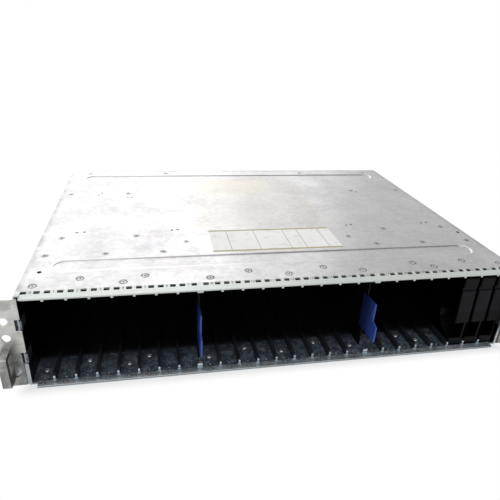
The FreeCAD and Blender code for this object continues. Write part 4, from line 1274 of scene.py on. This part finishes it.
class Piece:
    """Common work of every sub-assembly."""

    weld_gap = 0.000002
    sharp = math.radians(40)

    @staticmethod
    def dress(node: str, material: bpy.types.Material, edge: float = 0.0) -> None:
        """Give a solid its finish, and soften its edges if asked.

        Args:
            node: Name of the solid.
            material: Finish.
            edge: Width of the softened edges, in metres.
        """
        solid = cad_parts[node]
        if not solid.material_slots:
            solid.data.materials.append(material)
        for slot in solid.material_slots:
            slot.material = material
        if edge > 0.0:
            weld = solid.modifiers.new("weld", "WELD")
            weld.merge_threshold = Piece.weld_gap
            bevel = solid.modifiers.new("soft_edges", "BEVEL")
            bevel.width = edge
            bevel.segments = 2
            bevel.limit_method = "ANGLE"
            bevel.angle_limit = Piece.sharp
            bevel.harden_normals = False
        log.info("dressed %s", node)

    @staticmethod
    def add(name: str, work: bmesh.types.BMesh, body: str, material: bpy.types.Material,
            slot: str) -> bpy.types.Object:
        """Close a mesh under work and put it in the scene on a body.

        Args:
            name: Name of the piece and of its mesh.
            work: Mesh under work, freed here.
            body: Body it rides on.
            material: Finish.
            slot: Not used.

        Returns:
            The new object.
        """
        mesh = bpy.data.meshes.new(name)
        work.to_mesh(mesh)
        work.free()
        mesh.materials.append(material)
        piece = bpy.data.objects.new(name, mesh)
        bpy.context.scene.collection.objects.link(piece)
        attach(piece, body)
        log.info("built %s", name)
        return piece

    @staticmethod
    def islands(node: str) -> list[tuple[Vector, Vector]]:
        """Return the box of each separate solid of a node.

        Args:
            node: Name of the node.

        Returns:
            (lowest corner, highest corner) of each, from left to right.
        """
        work = bmesh.new()
        work.from_mesh(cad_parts[node].data)
        bmesh.ops.remove_doubles(work, verts=work.verts, dist=Piece.weld_gap)
        left = set(work.verts)
        boxes = []
        while left:
            front = [left.pop()]
            group = list(front)
            while front:
                for edge in front.pop().link_edges:
                    for vertex in edge.verts:
                        if vertex in left:
                            left.discard(vertex)
                            front.append(vertex)
                            group.append(vertex)
            low = Vector([min(v.co[i] for v in group) for i in range(3)])
            high = Vector([max(v.co[i] for v in group) for i in range(3)])
            boxes.append((low, high))
        work.free()
        return sorted(boxes, key=lambda box: (round(box[0].x, 5), box[0].y))


@dataclass
class RivetHeads(Piece):
    """Turned heads that take the place of a node's plain studs."""

    node: str
    profile: tuple[Pair, ...]
    axis: Axis = Axis.Z
    fits_hole: bool = True
    sides: int = 28

    def build(self, material: bpy.types.Material) -> bpy.types.Object:
        """Turn one head for each stud.

        Args:
            material: Finish.

        Returns:
            The piece that replaces the studs.
        """
        work = bmesh.new()
        for low, high in self.islands(self.node):
            self.turn(work, low, high)
        for face in work.faces:
            face.smooth = True
        piece = self.add(self.node + "_heads", work, "chassis", material, "rivet_steel")
        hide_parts(self.node)
        return piece

    def turn(self, work: bmesh.types.BMesh, low: Vector, high: Vector) -> None:
        """Add one head inside a stud's box.

        Args:
            work: Mesh under work.
            low: Lowest corner of the stud.
            high: Highest corner of the stud.
        """
        along = self.axis.value
        first, second = [i for i in range(3) if i != along]
        centre = (low + high) / 2
        spans = (high[first] - low[first], high[second] - low[second])
        radius = (min(spans) if self.fits_hole else max(spans)) / 2
        height = high[along] - low[along]
        outward = -1.0 if self.axis is Axis.X and centre.x < 0 else 1.0
        foot = low[along] if outward > 0 else high[along]
        rings = []
        for share, lift in self.profile:
            ring = []
            for number in range(self.sides):
                turn = 2 * math.pi * number / self.sides
                spot = Vector(centre)
                spot[along] = foot + outward * lift * height
                spot[first] = centre[first] + radius * share * math.cos(turn)
                spot[second] = centre[second] + radius * share * math.sin(turn)
                ring.append(work.verts.new(spot))
            rings.append(ring)
        for inner, outer in zip(rings, rings[1:]):
            for number in range(self.sides):
                after = (number + 1) % self.sides
                work.faces.new((inner[number], inner[after], outer[after], outer[number]))
        work.faces.new(rings[0])
        work.faces.new(rings[-1][::-1])
        bmesh.ops.recalc_face_normals(work, faces=work.faces)


# ---- sub-assemblies --------------------------------------------------------------------------


@dataclass
class Chassis(Piece):
    """The tray, its hem and the sheets inside it."""

    dome: tuple[Pair, ...] = ((1.0, 0.0), (0.97, 0.35), (0.82, 0.72), (0.52, 0.94), (0.12, 1.0))

    def build(self, finishes: Finishes) -> None:
        """Dress the tray and turn the rivets of its floor.

        Args:
            finishes: The finishes.
        """
        self.dress("chassis_tray", finishes.tray)
        self.dress("midplane_rails", finishes.inner)
        self.dress("module_shelf", finishes.module)
        for side in Side:
            self.dress("bay_partition_" + side.value, finishes.module)
            self.dress("divider_wall_" + side.value, finishes.divider)
        RivetHeads("floor_rivets", self.dome, fits_hole=False).build(finishes.rivet)


@dataclass
class Cover(Piece):
    """The top sheet with its flush rivets and the stamped slot numbers."""

    digit_height: float = 0.0031
    digit_lift: float = 0.000025
    strip_setback: float = 0.0110
    bend: float = 0.0129
    edge_setback: float = 0.0032
    drop: float = 0.0015
    capital: float = 0.7
    letter_space: float = 0.9
    flush: tuple[Pair, ...] = ((0.96, 0.0), (0.96, 0.96), (0.90, 1.0), (0.62, 1.0),
                               (0.52, 0.82), (0.10, 0.80))

    def build(self, finishes: Finishes) -> None:
        """Dress the cover, turn its rivets and stamp the numbers.

        Args:
            finishes: The finishes.
        """
        self.dress("top_cover", finishes.cover)
        RivetHeads("cover_rivets", self.flush).build(finishes.flush)
        RivetHeads("ear_rivets", self.flush, Axis.X).build(finishes.side_rivet)
        self.numbers(finishes)

    def numbers(self, finishes: Finishes) -> bpy.types.Object:
        """Stamp the number of each slot between its two windows.

        Args:
            finishes: The finishes.

        Returns:
            The piece that holds all the numbers.
        """
        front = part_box("chassis_tray")[0].y
        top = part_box("top_cover")[1].z
        slope = math.atan2(self.drop, self.bend - self.edge_setback)
        fall = (self.bend - self.strip_setback) * math.tan(slope)
        work = bmesh.new()
        for number, (low, high) in enumerate(self.islands("drive_connectors")):
            spot = Vector(((low.x + high.x) / 2, front + self.strip_setback,
                           top - fall + self.digit_lift))
            place = Matrix.Translation(spot) @ Matrix.Rotation(slope, 4, "X")
            self.stamp(work, str(number), place)
        return self.add("slot_numbers", work, "chassis", finishes.ink, "cover_sheet")

    def stamp(self, work: bmesh.types.BMesh, words: str, place: Matrix) -> None:
        """Add one number as flat faces.

        Args:
            work: Mesh under work.
            words: The number.
            place: Where its middle goes.
        """
        curve = bpy.data.curves.new("number", "FONT")
        curve.body = words
        curve.size = self.digit_height / self.capital
        curve.align_x = "CENTER"
        curve.align_y = "CENTER"
        curve.space_character = self.letter_space
        source = bpy.data.objects.new("number", curve)
        bpy.context.scene.collection.objects.link(source)
        graph = bpy.context.evaluated_depsgraph_get()
        flat = bpy.data.meshes.new_from_object(source.evaluated_get(graph))
        flat.transform(place)
        work.from_mesh(flat)
        bpy.data.objects.remove(source)
        bpy.data.curves.remove(curve)
        bpy.data.meshes.remove(flat)


@dataclass
class RackEars(Piece):
    """Ears, pull handles, the spring strips in the ears' windows and dark strips behind them as
    painted shade.
    """

    sheet_edge: float = 0.00025
    casting_edge: float = 0.0007
    sheet: float = 0.0012
    backing_sheet: float = 0.0004
    backing_gap: float = 0.0003
    backing_lap: float = 0.0028
    backing_leg: float = 0.0090
    backing_rise: float = 0.0012

    def build(self, finishes: Finishes) -> None:
        """Dress both ears.

        Args:
            finishes: The finishes.
        """
        for side in Side:
            self.dress("rack_ear_" + side.value, finishes.ear, self.sheet_edge)
            self.dress("ear_handle_" + side.value, finishes.handle, self.casting_edge)
        self.dress("bezel_clips", finishes.spring)
        self.backings(finishes)

    def backings(self, finishes: Finishes) -> bpy.types.Object:
        """Fold the dark strip that stands behind each window, outside the tray's wall, as painted
        shade.

        Args:
            finishes: The finishes.

        Returns:
            The piece that holds all four strips.
        """
        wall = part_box("top_cover")[1].x
        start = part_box("rack_ear_left")[0].y + self.sheet + self.backing_gap
        near = wall + self.backing_gap
        path = [(near + self.backing_lap, start), (near, start), (near, start + self.backing_leg)]
        work = bmesh.new()
        for low, high in self.islands("bezel_clips"):
            side = 1.0 if low.x > 0 else -1.0
            strip = self.folded(work, path, low.z - self.backing_rise,
                                high.z + self.backing_rise)
            bmesh.ops.scale(work, vec=(side, 1.0, 1.0), verts=strip)
        bmesh.ops.recalc_face_normals(work, faces=work.faces)
        return self.add("window_shade_backings", work, "chassis", finishes.backing, "spring_steel")

    def folded(self, work: bmesh.types.BMesh, path: list[Pair], low: float,
               high: float) -> list[bmesh.types.BMVert]:
        """Add an upright strip folded along a path seen from above.

        Args:
            work: Mesh under work.
            path: Outer line of the strip, with its second point the fold.
            low: Height of the lower edge.
            high: Height of the upper edge.

        Returns:
            The new vertices.
        """
        thick = self.backing_sheet
        (x0, y0), (x1, y1), (_, y2) = path
        outline = [(x0, y0), (x1, y1), (x1, y2), (x1 + thick, y2), (x1 + thick, y1 + thick),
                   (x0, y0 + thick)]
        rings = [[work.verts.new((x, y, z)) for x, y in outline] for z in (low, high)]
        count = len(outline)
        for number in range(count):
            after = (number + 1) % count
            work.faces.new((rings[0][number], rings[0][after], rings[1][after],
                            rings[1][number]))
        work.faces.new(rings[0][::-1])
        work.faces.new(rings[1])
        return rings[0] + rings[1]


@dataclass
class Dividers(Piece):
    """The coloured clips on the two dividers."""

    edge: float = 0.0003

    def build(self, finishes: Finishes) -> None:
        """Dress both clips.

        Args:
            finishes: The finishes.
        """
        for side in Side:
            self.dress("divider_clip_" + side.value, finishes.blue, self.edge)


@dataclass
class DriveGuides(Piece):
    """Comb-shaped guides on the floor and under the cover."""

    places: tuple[str, ...] = ("left", "middle", "right")

    def build(self, finishes: Finishes) -> None:
        """Dress the six guides.

        Args:
            finishes: The finishes.
        """
        for place in self.places:
            self.dress("floor_guide_" + place, finishes.floor_guide)
            self.dress("ceiling_guide_" + place, finishes.black)


@dataclass
class DriveFillers(Piece):
    """Moulded fillers in the last slots."""

    slots: tuple[int, ...] = (22, 23, 24)
    edge: float = 0.0004

    def build(self, finishes: Finishes) -> None:
        """Dress the fillers.

        Args:
            finishes: The finishes.
        """
        for slot in self.slots:
            self.dress(f"drive_filler_{slot}", finishes.filler, self.edge)


@dataclass
class Midplane(Piece):
    """The circuit board across the shelf with its connectors."""

    def build(self, finishes: Finishes) -> None:
        """Dress the board and its connectors.

        Args:
            finishes: The finishes.
        """
        self.dress("midplane_board", finishes.board)
        self.dress("drive_connectors", finishes.black)
        self.dress("module_connectors", finishes.black)


@dataclass
class PowerModule(Piece):
    """One power and cooling module."""

    side: Side
    edge: float = 0.0002
    lever_edge: float = 0.0005

    def build(self, finishes: Finishes) -> None:
        """Dress the module.

        Args:
            finishes: The finishes.
        """
        end = "_" + self.side.value
        self.dress("power_housing" + end, finishes.module)
        self.dress("power_inlet" + end, finishes.fan, self.edge)
        self.dress("power_core" + end, finishes.core)
        for name in ("fan_frame", "fan_rotor"):
            self.dress(name + end, finishes.fan)
        self.dress("power_lever" + end, finishes.lever, self.lever_edge)


@dataclass
class ControllerModule(Piece):
    """One controller module with its two ejector levers."""

    level: Level
    lever_edge: float = 0.0005

    def build(self, finishes: Finishes) -> None:
        """Dress the module.

        Args:
            finishes: The finishes.
        """
        end = "_" + self.level.value
        self.dress("controller_tray" + end, finishes.module)
        self.dress("controller_board" + end, finishes.cards[self.level])
        self.dress("controller_ports" + end, finishes.port)
        self.dress("controller_face" + end, finishes.module)
        for side in Side:
            self.dress("controller_lever" + end + "_" + side.value, finishes.lever,
                       self.lever_edge)


# ---- studio ----------------------------------------------------------------------------------


@dataclass(frozen=True)
class Lamp:
    """One soft lamp."""

    name: str
    place: Triple
    aim: Triple
    size: Pair
    power: float
    tint: Colour = (1.0, 1.0, 1.0)

    def hang(self) -> None:
        """Put the lamp in the scene."""
        data = bpy.data.lights.new(self.name, "AREA")
        data.shape = "RECTANGLE"
        data.size, data.size_y = self.size
        data.energy = self.power
        data.color = self.tint
        lamp = bpy.data.objects.new(self.name, data)
        lamp.location = self.place
        lamp.rotation_mode = "QUATERNION"
        away = Vector(self.aim) - Vector(self.place)
        lamp.rotation_quaternion = away.to_track_quat("-Z", "Y")
        bpy.context.scene.collection.objects.link(lamp)


@dataclass
class Studio:
    """White room: floor, world, lamps and camera."""

    floor_size: float = 30.0
    floor_tone: float = 0.93
    floor_rough: float = 0.7
    floor_drop: float = 0.0002
    shadow_half: Pair = (0.222, 0.165)
    shadow_fade: tuple[float, float, float, float] = (-0.004, 0.013, 0.5, 1.0)
    world_level: float = 0.62
    eye: Triple = (-0.1130, -0.4850, 0.2826)
    right: Triple = (0.97986, -0.19224, 0.05396)
    down: Triple = (-0.03759, -0.44299, -0.89574)
    forward: Triple = (0.19610, 0.87567, -0.44130)
    lens: float = 33.20
    sensor: float = 36.0
    clip: Pair = (0.01, 100.0)
    lamps: list[Lamp] = field(default_factory=lambda: [
        Lamp("rear_left", (-0.704, 2.626, 1.354), (0.0, 0.0, 0.09), (2.2, 2.4), 29.0),
        Lamp("rear_middle", (0.60, 2.65, 1.354), (0.0, 0.0, 0.09), (1.2, 2.4), 9.0),
        Lamp("front_fill", (-0.6, -2.0, 1.2), (0.0, -0.1, 0.03), (2.0, 1.2), 12.0),
    ])

    def build(self) -> None:
        """Build the whole room."""
        bpy.context.scene.view_settings.view_transform = "Standard"
        self.floor()
        self.world()
        for lamp in self.lamps:
            lamp.hang()
        self.camera()

    def floor(self) -> None:
        """Lay the pale floor, which turns plain white away from the shelf."""
        half = self.floor_size / 2
        mesh = bpy.data.meshes.new("floor")
        mesh.from_pydata([(-half, -half, 0), (half, -half, 0), (half, half, 0), (-half, half, 0)],
                         [], [(0, 1, 2, 3)])
        floor = bpy.data.objects.new("floor", mesh)
        floor.location.z = -self.floor_drop
        bpy.context.scene.collection.objects.link(floor)
        sheet = NodeSheet("floor_white")
        material = sheet.surface((self.floor_tone,) * 3, self.floor_rough)
        shader = next(n for n in sheet.nodes if n.type == "BSDF_PRINCIPLED")
        output = next(n for n in sheet.nodes if n.type == "OUTPUT_MATERIAL")
        glow = sheet.nodes.new("ShaderNodeEmission")
        glow.inputs["Strength"].default_value = 1.0
        clear = sheet.remap(sheet.beyond(self.shadow_half), *self.shadow_fade)
        share = sheet.times(clear, sheet.seen())
        sheet.join(share, shader.outputs[0], glow.outputs[0], output.inputs["Surface"])
        mesh.materials.append(material)

    def world(self) -> None:
        """Make the world white where it is seen and an even light elsewhere."""
        WorldSheet().build(self.world_level)

    def camera(self) -> None:
        """Set the camera."""
        data = bpy.data.cameras.new("camera")
        data.lens = self.lens
        data.sensor_width = self.sensor
        data.clip_start, data.clip_end = self.clip
        camera = bpy.data.objects.new("camera", data)
        up = -Vector(self.down)
        back = -Vector(self.forward)
        turn = Matrix((Vector(self.right), up, back)).transposed()
        camera.matrix_world = Matrix.Translation(Vector(self.eye)) @ turn.to_4x4()
        bpy.context.scene.collection.objects.link(camera)
        bpy.context.scene.camera = camera


class WorldSheet(NodeSheet):
    """The node graph of the world."""

    def __init__(self) -> None:
        """Start an empty world."""
        self.world = bpy.data.worlds.new("white_room")
        self.world.use_nodes = True
        self.nodes = self.world.node_tree.nodes
        self.links = self.world.node_tree.links
        self.nodes.clear()

    def build(self, level: float) -> None:
        """Join the seen white and the even light.

        Args:
            level: Strength of the light.
        """
        bpy.context.scene.world = self.world
        output = self.nodes.new("ShaderNodeOutputWorld")
        seen = self.nodes.new("ShaderNodeBackground")
        light = self.nodes.new("ShaderNodeBackground")
        light.inputs["Strength"].default_value = level
        for background in (seen, light):
            background.inputs["Color"].default_value = (1.0, 1.0, 1.0, 1.0)
        self.join(self.seen(), light.outputs[0], seen.outputs[0], output.inputs["Surface"])


# ---- making ----------------------------------------------------------------------------------


def main() -> None:
    """Build every sub-assembly in order, then the studio."""
    logging.basicConfig(level=logging.INFO, format="%(name)s: %(message)s")
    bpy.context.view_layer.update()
    finishes = Finishes()
    parts: list[Chassis | Cover | RackEars | Dividers | DriveGuides | DriveFillers | Midplane
                | PowerModule | ControllerModule] = [
        Chassis(), Cover(), RackEars(), Dividers(), DriveGuides(), DriveFillers(), Midplane(),
        *(PowerModule(side) for side in Side), *(ControllerModule(level) for level in Level)]
    for part in parts:
        part.build(finishes)
        log.info("finished %s", type(part).__name__)
    Studio().build()


if __name__ == "__main__":
    main()
